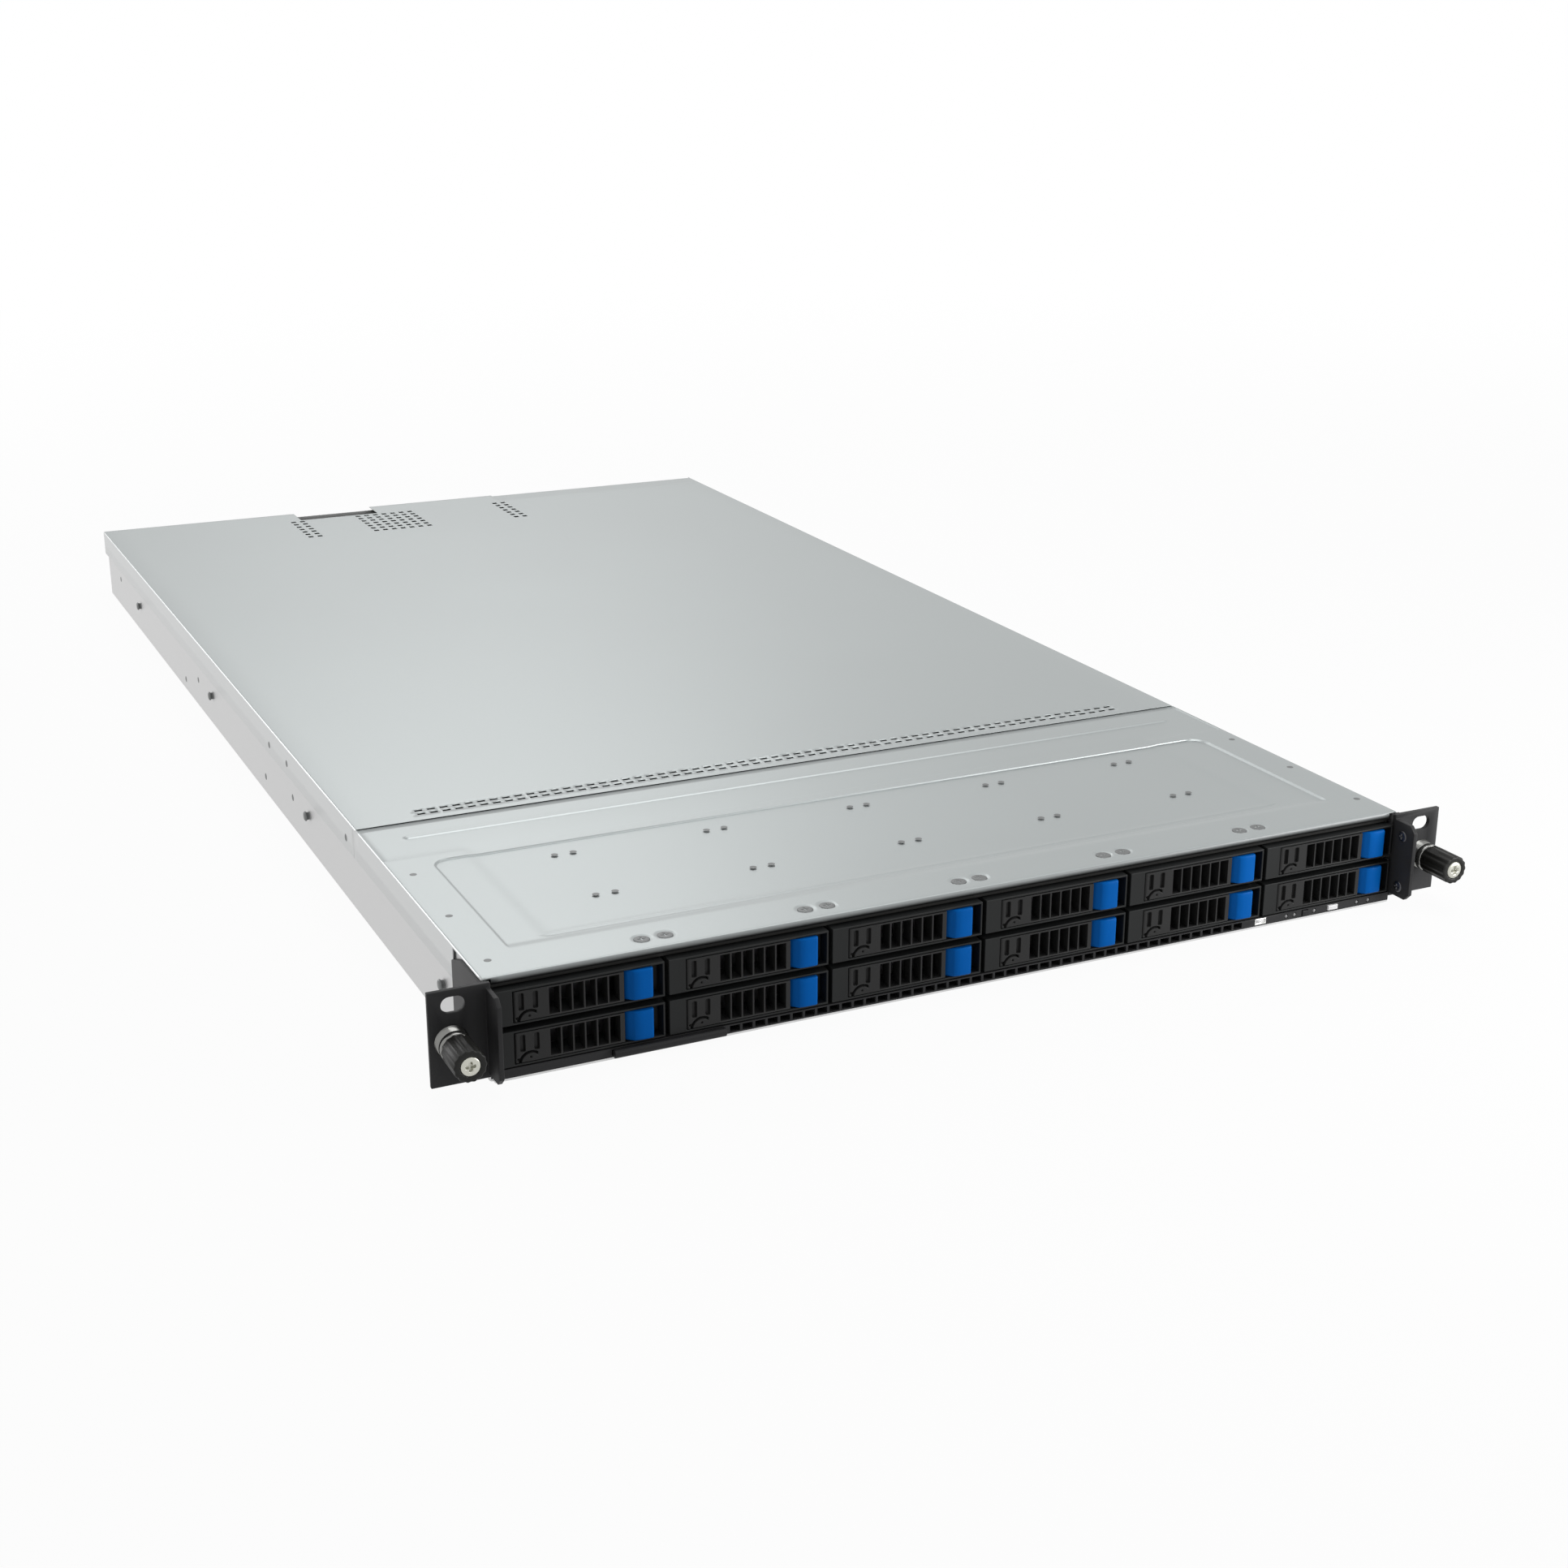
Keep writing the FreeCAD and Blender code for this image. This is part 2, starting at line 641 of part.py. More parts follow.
def lever(column, row):
    """Ejector lever: hinge barrel, slotted tongue and a moulded grille of upright vanes."""
    x = column_x(column)
    z0 = bezel_z(row)[0] + bezel_border + play
    z1 = z0 + lever_height
    back = face_y + lever_sheet
    pivot = lever_pivot_x
    barrel = prism(x + pivot, 0, lever_sheet / 2, 0, lever_height, 8, math.pi / 8)
    barrel.rotate(V(x + pivot, 0, 0), V(1, 0, 0), 90)
    barrel.translate(V(0, face_y + lever_sheet / 2, z0))
    grille_left = x + vane_first - vane_sheet / 2
    plate = box(x + pivot, grille_left, face_y, back, z0, z1)
    grille = box(grille_left, x + lever_end, face_y, face_y + vane_depth, z0, z1)
    cells = [box(x + vane_x(i) + vane_sheet / 2, x + vane_x(i + 1) - vane_sheet / 2, face_y,
                 face_y + vane_depth, z0 + rail_height, z1 - rail_height)
             for i in range(vane_cells)]
    slots = [box(x + lever_left + s - tongue_slot_width / 2,
                 x + lever_left + s + tongue_slot_width / 2, face_y,
                 face_y + tongue_slot_depth, z0 + tongue_slot_foot, z1 - tongue_slot_top)
             for s in tongue_slots]
    return plate.fuse([barrel, grille]).cut(cells + slots).removeSplitter()


def vane_x(index):
    return vane_first + index * vane_pitch


def latch(column, row):
    """Release latch: a block with a sloping left facet, standing proud of the bezel."""
    x = column_x(column)
    z0 = bezel_z(row)[0] + bezel_border + play
    front, back = face_y - latch_rise, face_y + latch_depth
    left, right = x + latch_left, x + latch_right
    outline = [(left, back, z0), (left, front + latch_facet[1], z0),
               (left + latch_facet[0], front, z0), (right - latch_ease, front, z0),
               (right, front + latch_ease, z0), (right, back, z0)]
    return face_of(outline).extrude(V(0, 0, lever_height))


# ---------------------------------------------------------------- front panel
def panel_middle():
    return (wall_sheet + panel_top) / 2


def panel_pocket(x, size, gap, y1):
    """Opening round a button, lamp or port."""
    z = panel_middle()
    return box(x - size[0] / 2 - gap, x + size[0] / 2 + gap, face_y - 1, y1,
               z - size[1] / 2 - gap, z + size[1] / 2 + gap)


def front_panel():
    """Moulded strip under the trays with its air cells, and the bar above the trays."""
    rear = cage_front_y
    strip = box(-panel_half, panel_half, face_y, rear, wall_sheet, panel_top)
    z = panel_middle()
    count = int((cells_to - cells_from) / cell_pitch)
    cuts = [box(cells_from + i * cell_pitch, cells_from + i * cell_pitch + cell_width,
                face_y - 1, rear + 1, z - cell_height / 2, z + cell_height / 2)
            for i in range(count)]
    cuts.append(panel_pocket(port_x, port_size, 0, rear + 1))
    cuts += [panel_pocket(x, led_size, 0, rear + 1) for x in led_x]
    cuts.append(panel_pocket(power_x, power_size, play, rear + 1))
    cuts.append(panel_pocket(ident_x, ident_size, play, rear + 1))
    cuts.append(panel_pocket(tab_centre, (tab_width, tab_sheet), play, rear + 1))
    bar = box(-panel_half, panel_half, cover_front_y + cover_sheet, rear,
              top_bar_top - top_bar_height, top_bar_top)
    return [strip.cut(cuts), bar]


def front_ports():
    """Metal port shell and the light pipes of the front panel."""
    z = panel_middle()
    rear = cage_front_y
    half_x, half_z = port_size[0] / 2, port_size[1] / 2
    shell = box(port_x - half_x, port_x + half_x, face_y, rear, z - half_z, z + half_z)
    mouth = box(port_x - half_x + port_sheet, port_x + half_x - port_sheet, face_y,
                rear - port_floor, z - half_z + port_sheet, z + half_z - port_sheet)
    tongue = box(port_x - port_tongue[0] / 2, port_x + port_tongue[0] / 2, face_y + 1,
                 rear - port_floor, z - port_tongue[1] / 2, z + port_tongue[1] / 2)
    pipes = [box(x - led_size[0] / 2, x + led_size[0] / 2, face_y, rear,
                 z - led_size[1] / 2, z + led_size[1] / 2) for x in led_x]
    return [shell.cut(mouth).fuse(tongue)] + pipes


def button(x, size):
    """Push button with eased front edges."""
    z = panel_middle()
    cap = box(x - size[0] / 2, x + size[0] / 2, face_y - button_rise,
              face_y - button_rise + button_depth, z - size[1] / 2, z + size[1] / 2)
    rim = [e for e in cap.Edges if abs(e.CenterOfMass.y - (face_y - button_rise)) < 1e-6]
    return cap.makeChamfer(button_ease, rim)


def info_tab():
    """Pull-out information tab: a thin plate with a grip at its front."""
    z = panel_middle()
    half = tab_width / 2
    grip_rear = face_y - play
    grip_front = grip_rear - tab_lip[0]
    plate = box(tab_centre - half, tab_centre + half, grip_rear, face_y + tab_length,
                z - tab_sheet / 2, z + tab_sheet / 2)
    grip = box(tab_centre - half, tab_centre + half, grip_front, grip_rear,
               z - tab_lip[1] / 2, z + tab_lip[1] / 2)
    edges = [e for e in grip.Edges
             if abs(e.CenterOfMass.y - grip_front) < 1e-6 and e.Length > tab_width / 2]
    return grip.makeChamfer(tab_ease, edges).fuse(plate).removeSplitter()


# ---------------------------------------------------------------- inside
def backplane():
    """Board behind the bays, with one socket for each drive and air windows between rows."""
    board = box(-inner_half + play, inner_half - play, backplane_y, backplane_y + board_sheet,
                wall_sheet, cage_top)
    sockets = []
    windows = []
    for c in range(columns):
        x = column_x(c)
        z = row_z(rows - 1) - air_window_drop
        windows.append(box(x - air_window[0] / 2, x + air_window[0] / 2, backplane_y,
                           backplane_y + board_sheet, z, z + air_window[1]))
        for r in range(rows):
            z = row_z(r) + socket_lift
            sockets.append(box(x - socket_width / 2, x + socket_width / 2,
                               drive_rear_y + play, backplane_y, z, z + socket_height))
    return [board.cut(windows)] + sockets


def fan(index):
    """Square duct with a strut across its rear, and the four-bladed rotor before the strut."""
    x = (index - (fan_count - 1) / 2) * fan_pitch
    zc = wall_sheet + fan_size / 2
    y0, y1 = fan_front_y, fan_front_y + fan_length
    half = fan_size / 2
    duct = box(x - half, x + half, y0, y1, zc - half, zc + half)
    duct = duct.cut(prism(x, zc, fan_bore_r, y0, y1, 8, math.pi / 8))
    strut = box(x - half, x + half, y1 - strut_size[0], y1, zc - strut_size[1] / 2,
                zc + strut_size[1] / 2)
    reach = fan_bore_r * math.cos(math.pi / 8) - fan_blade_gap
    ring = []
    for i in range(fan_blade_count):
        turn = 2 * math.pi * i / fan_blade_count
        between = turn + math.pi / fan_blade_count
        for along, aside in ((reach, -fan_blade_sheet / 2), (reach, fan_blade_sheet / 2)):
            ring.append((x + along * math.cos(turn) - aside * math.sin(turn),
                         y1 - strut_size[0] - rotor_length,
                         zc + along * math.sin(turn) + aside * math.cos(turn)))
        ring.append((x + fan_hub_r * math.cos(between), y1 - strut_size[0] - rotor_length,
                     zc + fan_hub_r * math.sin(between)))
    rotor = face_of(ring).extrude(V(0, rotor_length, 0))
    return [duct.fuse(strut).removeSplitter(), rotor]


def mainboard():
    """Circuit board on its stand-offs, narrower beside the power supplies, with two sockets."""
    top = board_z + board_sheet
    wide = box(-board_half, board_half, board_front_y, board_step_y, board_z, top)
    narrow = box(-board_half, board_right_x, board_step_y, board_rear_y, board_z, top)
    blocks = [box(s * cpu_x - cpu_block[0] / 2, s * cpu_x + cpu_block[0] / 2,
                  cpu_front_y + cpu_inset, cpu_front_y + cpu_inset + cpu_block[1], top,
                  top + cpu_block[2])
              for s in (-1, 1)]
    return wide.fuse([narrow] + blocks).removeSplitter()


def heat_sink(x):
    """Finned block on a processor, one comb profile drawn along the air stream."""
    z0 = board_z + board_sheet + cpu_block[2]
    z1 = cover_under - sink_room
    left = x - sink_size[0] / 2
    step = (sink_size[0] - sink_fin_sheet) / (sink_fins - 1)
    points = [(left, cpu_front_y, z0), (left + sink_size[0], cpu_front_y, z0)]
    for i in reversed(range(sink_fins)):
        fin = left + i * step
        points += [(fin + sink_fin_sheet, cpu_front_y, z1), (fin, cpu_front_y, z1)]
        if i:
            gap = left + (i - 1) * step + sink_fin_sheet
            points += [(fin, cpu_front_y, z0 + sink_base), (gap, cpu_front_y, z0 + sink_base)]
    return face_of(points).extrude(V(0, sink_size[1], 0))


def memory_module(x):
    """Memory stick standing in its socket."""
    z0 = board_z + board_sheet
    yc = dimm_front_y + dimm_socket[1] / 2
    socket = box(x - dimm_socket[0] / 2, x + dimm_socket[0] / 2, dimm_front_y,
                 dimm_front_y + dimm_socket[1], z0, z0 + dimm_socket[2])
    stick = box(x - dimm_size[0] / 2, x + dimm_size[0] / 2, yc - dimm_size[1] / 2,
                yc + dimm_size[1] / 2, z0 + dimm_socket[2], cover_under - dimm_room)
    return socket.fuse(stick).removeSplitter()


def memory_modules():
    out = []
    for side in (-1, 1):
        for bank in (-1, 1):
            for i in range(dimm_count):
                out.append(memory_module(side * cpu_x + bank * (dimm_first + i * dimm_pitch)))
    return out


# ---------------------------------------------------------------- rear
def psu_x(index):
    """Left side of a power supply, counted from the middle of the server outwards."""
    return psu_bay_left + index * (psu_width + psu_gap)


def psu(index):
    """Power supply case with its mains inlet recess and a fixed pull handle."""
    x0 = psu_x(index)
    z0 = wall_sheet + play
    y1 = chassis_rear_y
    case = box(x0, x0 + psu_width, y1 - psu_length, y1, z0, z0 + psu_height)
    half = inlet_size[0] / 2
    ix = x0 + inlet_inset + half
    iz = z0 + inlet_inset
    top = iz + inlet_size[1]
    mouth = [(ix - half, y1 - inlet_depth, iz), (ix + half, y1 - inlet_depth, iz),
             (ix + half, y1 - inlet_depth, top - inlet_corner),
             (ix + half - inlet_corner, y1 - inlet_depth, top),
             (ix - half + inlet_corner, y1 - inlet_depth, top),
             (ix - half, y1 - inlet_depth, top - inlet_corner)]
    recess = face_of(mouth).extrude(V(0, inlet_depth + inlet_rim_rise, 0))
    rim = box(ix - half - inlet_rim, ix + half + inlet_rim, y1, y1 + inlet_rim_rise,
              iz - inlet_rim, top + inlet_rim)
    hx = x0 + psu_width - handle_inset
    hz = z0 + (psu_height - handle_height) / 2
    grip_y = y1 + handle_reach
    outer = box(hx - handle_width / 2, hx + handle_width / 2, y1, grip_y, hz, hz + handle_height)
    rounded = [e for e in outer.Edges
               if abs(e.CenterOfMass.y - grip_y) < 1e-6 and abs(e.CenterOfMass.x - hx) < 1e-6]
    gap = box(hx - handle_width, hx + handle_width, y1, grip_y - handle_bar,
              hz + handle_bar, hz + handle_height - handle_bar)
    handle = outer.makeChamfer(handle_round, rounded).cut(gap)
    grille_z = z0 + grille_lift
    grille = []
    for i in range(grille_bars):
        left = x0 + inlet_inset + i * grille_pitch
        grille.append(box(left, left + grille_slot[0], y1 - grille_slot[1], y1,
                          grille_z, z0 + psu_height - grille_margin))
    return case.fuse([rim, handle]).removeSplitter().cut([recess] + grille)


def psu_latch(index):
    """Release tab beside the handle."""
    x0 = psu_x(index) + psu_width - psu_latch_size[0] - psu_latch_inset
    z0 = wall_sheet + play + (psu_height - psu_latch_size[2]) / 2
    y0 = chassis_rear_y + play
    tab = box(x0, x0 + psu_latch_size[0], y0, y0 + psu_latch_size[1], z0, z0 + psu_latch_size[2])
    edges = [e for e in tab.Edges if abs(e.CenterOfMass.y - (y0 + psu_latch_size[1])) < 1e-6]
    return tab.makeChamfer(psu_latch_ease, edges)


def port_block(x, block, mouth, mouth_lift):
    """Connector block flush with the rear wall, with one open mouth."""
    y1 = chassis_rear_y
    body = box(x - block[0] / 2, x + block[0] / 2, y1 - block[1], y1, port_z, port_z + block[2])
    hollow = box(x - mouth[0] / 2, x + mouth[0] / 2, y1 - block[1] + connector_floor, y1,
                 port_z + mouth_lift, port_z + mouth_lift + mouth[1])
    return body.cut(hollow)


def rear_ports():
    """Network, serial-bus and video connectors, and the blank over the expansion slot."""
    out = [port_block(x, lan_block, lan_size, lan_lift) for x in lan_x]
    usb = port_block(usb_x, usb_block, usb_size, usb_lifts[0])
    half = usb_size[0] / 2
    y0, y1 = chassis_rear_y - usb_block[1] + connector_floor, chassis_rear_y
    z = port_z + usb_lifts[1]
    usb = usb.cut(box(usb_x - half, usb_x + half, y0, y1, z, z + usb_size[1]))
    tongues = []
    for lift in usb_lifts:
        z = port_z + lift + usb_size[1] - usb_tongue[1] - port_sheet
        tongues.append(box(usb_x - usb_tongue[0] / 2, usb_x + usb_tongue[0] / 2, y0,
                           y1 - usb_tongue_inset, z, z + usb_tongue[1]))
    out.append(usb.fuse(tongues))
    out.append(port_block(video_x, video_block, video_size, lan_lift))
    y = chassis_rear_y - wall_sheet
    out.append(box(slot_cover_x[0] - slot_cover_lap, slot_cover_x[1] + slot_cover_lap,
                   y - slot_cover_sheet, y, slot_cover_z[0] - slot_cover_lap,
                   slot_cover_z[1] + slot_cover_lap))
    return out


# ---------------------------------------------------------------- fasteners
def fasteners():
    """Ferrules of the thumbscrews, rail studs, cover screws and the fins' screws."""
    out = []
    for side in (-1, 1):
        centre = side * screw_x
        front = face_y - ferrule_length
        ferrule = prism(centre, screw_z, ferrule_r, front, face_y, 18)
        out.append(ferrule.cut(prism(centre, screw_z, shank_hole_r, front, face_y, 8)))
        for i in range(stud_count):
            foot = V(side * chassis_half, stud_ends[0] + i * stud_pitch, stud_z)
            out.append(Part.makeCylinder(stud_r, stud_reach, foot, V(side, 0, 0)))
        head = side * (fin_inner_x - fin_screw_rise)
        for z in fin_screw_z:
            screw = prism(fin_screw_y, z, fin_screw_r, 0, fin_screw_rise, 8)
            screw.rotate(V(0, 0, 0), V(0, 0, 1), 90)
            screw.translate(V(max(head, side * fin_inner_x), 0, 0))
            out.append(screw)
    for k in range(1, columns):
        x = column_x(k) - pitch_x / 2
        for s in (-1, 1):
            screw = prism(x + s * cover_screw_pair, -cover_screw_y, cover_screw_r, 0,
                          cover_screw_rise, 8)
            screw.rotate(V(0, 0, 0), V(1, 0, 0), 90)
            screw.translate(V(0, 0, body_height))
            out.append(screw)
    return out


def main():
    os.makedirs("parts", exist_ok=True)
    save("chassis", chassis())
    save("front_cover", front_cover())
    save("rear_cover", rear_cover())
    save("right_ear", right_ear())
    save("left_ear", mirrored(right_ear()))
    save("right_thumbscrew", right_thumbscrew())
    save("left_thumbscrew", mirrored(right_thumbscrew()))
    save("drive_cage", drive_cage())
    for row in range(rows):
        for column in range(columns):
            number = str(row * columns + column + 1)
            save("tray_" + number, tray(column, row))
            save("tray_" + number + "_lever", lever(column, row))
            save("tray_" + number + "_latch", latch(column, row))
    save("front_panel", front_panel())
    save("front_ports", front_ports())
    save("power_button", button(power_x, power_size))
    save("ident_button", button(ident_x, ident_size))
    save("info_tab", info_tab())
    save("backplane", backplane())
    save("fans", [piece for i in range(fan_count) for piece in fan(i)])
    save("mainboard", mainboard())
    save("heat_sinks", [heat_sink(-cpu_x), heat_sink(cpu_x)])
    save("memory_modules", memory_modules())
    for index in (0, 1):
        save("psu_" + str(index + 1), psu(index))
        save("psu_" + str(index + 1) + "_latch", psu_latch(index))
    save("rear_ports", rear_ports())
    save("fasteners", fasteners())


main()
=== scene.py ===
"""One-unit rack server: plated sheet steel, black mouldings and blue release latches."""
import json
import math

import bmesh
import bpy
import numpy as np
from mathutils import Matrix, Vector

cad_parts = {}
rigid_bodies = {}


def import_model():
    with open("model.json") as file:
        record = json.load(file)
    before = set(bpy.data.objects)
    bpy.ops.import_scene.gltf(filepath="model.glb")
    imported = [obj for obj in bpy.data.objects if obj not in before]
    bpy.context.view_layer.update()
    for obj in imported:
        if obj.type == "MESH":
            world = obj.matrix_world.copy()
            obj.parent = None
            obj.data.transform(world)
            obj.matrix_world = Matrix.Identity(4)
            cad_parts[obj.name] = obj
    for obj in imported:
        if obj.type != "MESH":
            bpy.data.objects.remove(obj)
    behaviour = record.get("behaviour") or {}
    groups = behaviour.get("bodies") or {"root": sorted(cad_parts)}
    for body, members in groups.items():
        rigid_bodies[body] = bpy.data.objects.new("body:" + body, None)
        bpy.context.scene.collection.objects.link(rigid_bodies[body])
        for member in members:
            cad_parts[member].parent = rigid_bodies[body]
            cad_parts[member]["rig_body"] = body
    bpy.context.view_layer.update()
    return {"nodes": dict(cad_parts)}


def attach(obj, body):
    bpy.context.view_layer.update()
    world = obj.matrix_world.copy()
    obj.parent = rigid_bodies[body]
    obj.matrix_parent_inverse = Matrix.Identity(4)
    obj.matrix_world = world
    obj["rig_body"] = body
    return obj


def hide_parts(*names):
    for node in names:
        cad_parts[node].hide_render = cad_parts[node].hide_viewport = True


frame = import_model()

# ---------------------------------------------------------------- camera
# A long lens at the left front corner, a little above the covers, with the verticals
# almost upright.  Its place is in metres from the middle of the ears' rear faces.
azimuth, elevation, roll = np.radians([-25.49, 19.43, 0.13])
camera_place = (-0.4534, -0.7575, 0.3992)
back = Vector((math.sin(azimuth) * math.cos(elevation),
               -math.cos(azimuth) * math.cos(elevation), math.sin(elevation)))
right = Vector((0, 0, 1)).cross(back).normalized()
up = back.cross(right)
tilted_right = right * math.cos(roll) + up * math.sin(roll)
tilted_up = up * math.cos(roll) - right * math.sin(roll)
camera_data = bpy.data.cameras.new("camera")
camera_data.sensor_width = 36.0
camera_data.lens = 52.01
camera_data.clip_start = 0.05
camera_data.clip_end = 60
camera = bpy.data.objects.new("camera", camera_data)
turn = Matrix((tilted_right, tilted_up, back)).transposed()
camera.matrix_world = Matrix.Translation(camera_place) @ turn.to_4x4()
bpy.context.scene.collection.objects.link(camera)
bpy.context.scene.camera = camera


# ---------------------------------------------------------------- studio
# A white room: the pale floor and the sky look white to the lens and in the metal, while
# the server is lit by a dim even sky and four large soft lamps.
class Wire:
    """One output of a shader node; arithmetic on it adds Math nodes to its tree."""

    def __init__(self, tree, socket=None):
        self.tree = tree
        self.socket = socket

    def node(self, kind, settings=None, inputs=None, output=0):
        """Adds a node, sets its own settings first, then each socket's value or link."""
        made = self.tree.nodes.new(kind)
        for name, value in (settings or {}).items():
            setattr(made, name, value)
        for name, value in (inputs or {}).items():
            if isinstance(value, Wire):
                self.tree.links.new(value.socket, made.inputs[name])
            else:
                made.inputs[name].default_value = value
        return Wire(self.tree, made.outputs[output] if len(made.outputs) else None)

    def maths(self, operation, first, second):
        return self.node("ShaderNodeMath", {"operation": operation}, {0: first, 1: second})

    def __add__(self, other):
        return self.maths("ADD", self, other)

    def __radd__(self, other):
        return self.maths("ADD", other, self)

    def __sub__(self, other):
        return self.maths("SUBTRACT", self, other)

    def __rsub__(self, other):
        return self.maths("SUBTRACT", other, self)

    def __mul__(self, other):
        return self.maths("MULTIPLY", self, other)

    def __rmul__(self, other):
        return self.maths("MULTIPLY", other, self)

    def __gt__(self, other):
        return self.maths("GREATER_THAN", self, other)

    def __lt__(self, other):
        return self.maths("LESS_THAN", self, other)


def bare_tree(owner):
    """The owner's node tree with nothing in it, as a Wire."""
    owner.use_nodes = True
    owner.node_tree.nodes.clear()
    return Wire(owner.node_tree)


def seen_directly(wire):
    """1 for rays from the lens, from gloss and through glass, and 0 for light on a surface."""
    total = wire.node("ShaderNodeLightPath", output="Is Camera Ray")
    for name in ("Is Glossy Ray", "Is Transmission Ray"):
        total = wire.maths("MAXIMUM", total, wire.node("ShaderNodeLightPath", output=name))
    return total


plain_white = (1, 1, 1, 1)
sky_light = 0.32
bpy.context.scene.view_settings.view_transform = "Standard"
world = bpy.data.worlds.new("white_room")
bpy.context.scene.world = world
sky = bare_tree(world)
dim = sky.node("ShaderNodeBackground", inputs={"Color": plain_white, "Strength": sky_light})
white = sky.node("ShaderNodeBackground", inputs={"Color": plain_white, "Strength": 1.0})
mixed = sky.node("ShaderNodeMixShader", inputs={0: seen_directly(sky), 1: dim, 2: white})
sky.node("ShaderNodeOutputWorld", inputs={"Surface": mixed})

lamp_aim = Vector((0, 0.35, 0))
for name, place, size, power in (("over", (0.3, 0.2, 1.8), 1.3, 9.5),
                                 ("behind", (0.35, 1.9, 1.2), 1.0, 3.4),
                                 ("right_front", (0.55, -0.36, 0.20), 0.4, 3.0),
                                 ("left_rear", (-1.2, 2.2, 0.8), 1.0, 10)):
    lamp_data = bpy.data.lights.new(name, "AREA")
    lamp_data.shape = "DISK"
    lamp_data.size = size
    lamp_data.energy = power
    lamp = bpy.data.objects.new(name, lamp_data)
    lamp.visible_camera = False
    turn = (lamp_aim - Vector(place)).to_track_quat("-Z", "Y").to_matrix()
    lamp.matrix_world = Matrix.Translation(place) @ turn.to_4x4()
    bpy.context.scene.collection.objects.link(lamp)

floor_half = 12.0
floor_level = -0.0002
glow_fade = (0.8, 2.4)
glow_beneath = 0.945
corners = [(-floor_half, -floor_half), (floor_half, -floor_half),
           (floor_half, floor_half), (-floor_half, floor_half)]
floor_mesh = bpy.data.meshes.new("floor")
floor_mesh.from_pydata([(*corner, floor_level) for corner in corners], [], [(0, 1, 2, 3)])
floor = bpy.data.objects.new("floor", floor_mesh)
bpy.context.scene.collection.objects.link(floor)
floor_paint = bpy.data.materials.new("white_floor")
wires = bare_tree(floor_paint)
place = wires.node("ShaderNodeTexCoord", output="Object")
away = wires.node("ShaderNodeVectorMath", {"operation": "LENGTH"}, {0: place}, output="Value")
even = wires.node("ShaderNodeMapRange", {"interpolation_type": "SMOOTHSTEP"},
                  {"Value": away, "From Min": glow_fade[0], "From Max": glow_fade[1],
                   "To Min": glow_beneath, "To Max": 1.0})
matt = wires.node("ShaderNodeBsdfDiffuse", inputs={"Color": (0.8, 0.8, 0.8, 1)})
glow = wires.node("ShaderNodeEmission", inputs={"Color": plain_white, "Strength": 1.0})
share = wires.node("ShaderNodeMixShader",
                   inputs={0: seen_directly(wires) * even, 1: matt, 2: glow})
wires.node("ShaderNodeOutputMaterial", inputs={"Surface": share})
floor_mesh.materials.append(floor_paint)


# ---------------------------------------------------------------- front cover
# Fixed lid over the drive bays, pressed from 0.8 mm plated steel: a shallow panel with
# rounded corners, a stiffening bead, and a strip that drops a little before the seam.
half_width = 219.0
cover_top = 43.2
skirt_bottom = 28.2
bend_r = 1.0
flat_half = half_width - 0.9


def smooth_step(t):
    """Rises from 0 to 1 while t does, by 3t^2 - 2t^3, and stays level outside."""
    t = np.clip(t, 0, 1)
    return t * t * (3 - 2 * t)


def rounded_distance(x, y, x0, x1, y0, y1, r):
    """Distance to a rectangle with rounded corners, negative inside it."""
    dx = np.abs(x - (x0 + x1) / 2) - (x1 - x0) / 2 + r
    dy = np.abs(y - (y0 + y1) / 2) - (y1 - y0) / 2 + r
    outside = np.hypot(np.maximum(dx, 0), np.maximum(dy, 0))
    return outside + np.minimum(np.maximum(dx, dy), 0) - r


def lines(*runs):
    """Sorted grid lines from runs of (from, to, pitch), none within 0.02 mm of the last."""
    parts = [np.linspace(a, b, max(2, int(round((b - a) / step)) + 1)) for a, b, step in runs]
    merged = np.unique(np.round(np.concatenate(parts), 3))
    return merged[np.concatenate([[True], np.diff(merged) > 0.02])]


def place_piece(name, mesh, body, material, replaced=()):
    """Puts a mesh in the scene as a piece on a body, with its material in one slot."""
    piece = bpy.data.objects.new(name, mesh)
    bpy.context.scene.collection.objects.link(piece)
    mesh.materials.clear()
    mesh.materials.append(material)
    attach(piece, body)
    if replaced:
        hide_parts(*replaced)
    return piece


def smooth_mesh(name, points, faces):
    """Smooth-shaded mesh from points in millimetres and faces of point numbers."""
    mesh = bpy.data.meshes.new(name)
    mesh.from_pydata((points / 1000).tolist(), [], faces.tolist())
    mesh.polygons.foreach_set("use_smooth", np.ones(len(mesh.polygons), bool))
    return mesh


def cells_of(grid):
    """The four corners of every cell of a grid of point numbers."""
    return np.stack([grid[:-1, :-1], grid[:-1, 1:], grid[1:, 1:], grid[1:, :-1]], -1)


def grid_mesh(name, points, keep):
    """Mesh of the cells of a grid of points; keep marks the cells that exist."""
    rows, columns = points.shape[:2]
    number = np.arange(rows * columns).reshape(rows, columns)
    used, cells = np.unique(cells_of(number)[keep], return_inverse=True)
    return smooth_mesh(name, points.reshape(-1, 3)[used], cells.reshape(-1, 4))


def thicken(piece, sheet):
    """Gives a surface its sheet thickness, inwards, in millimetres."""
    wall = piece.modifiers.new("sheet", "SOLIDIFY")
    wall.thickness = sheet / 1000
    wall.offset = -1.0
    wall.use_rim = True


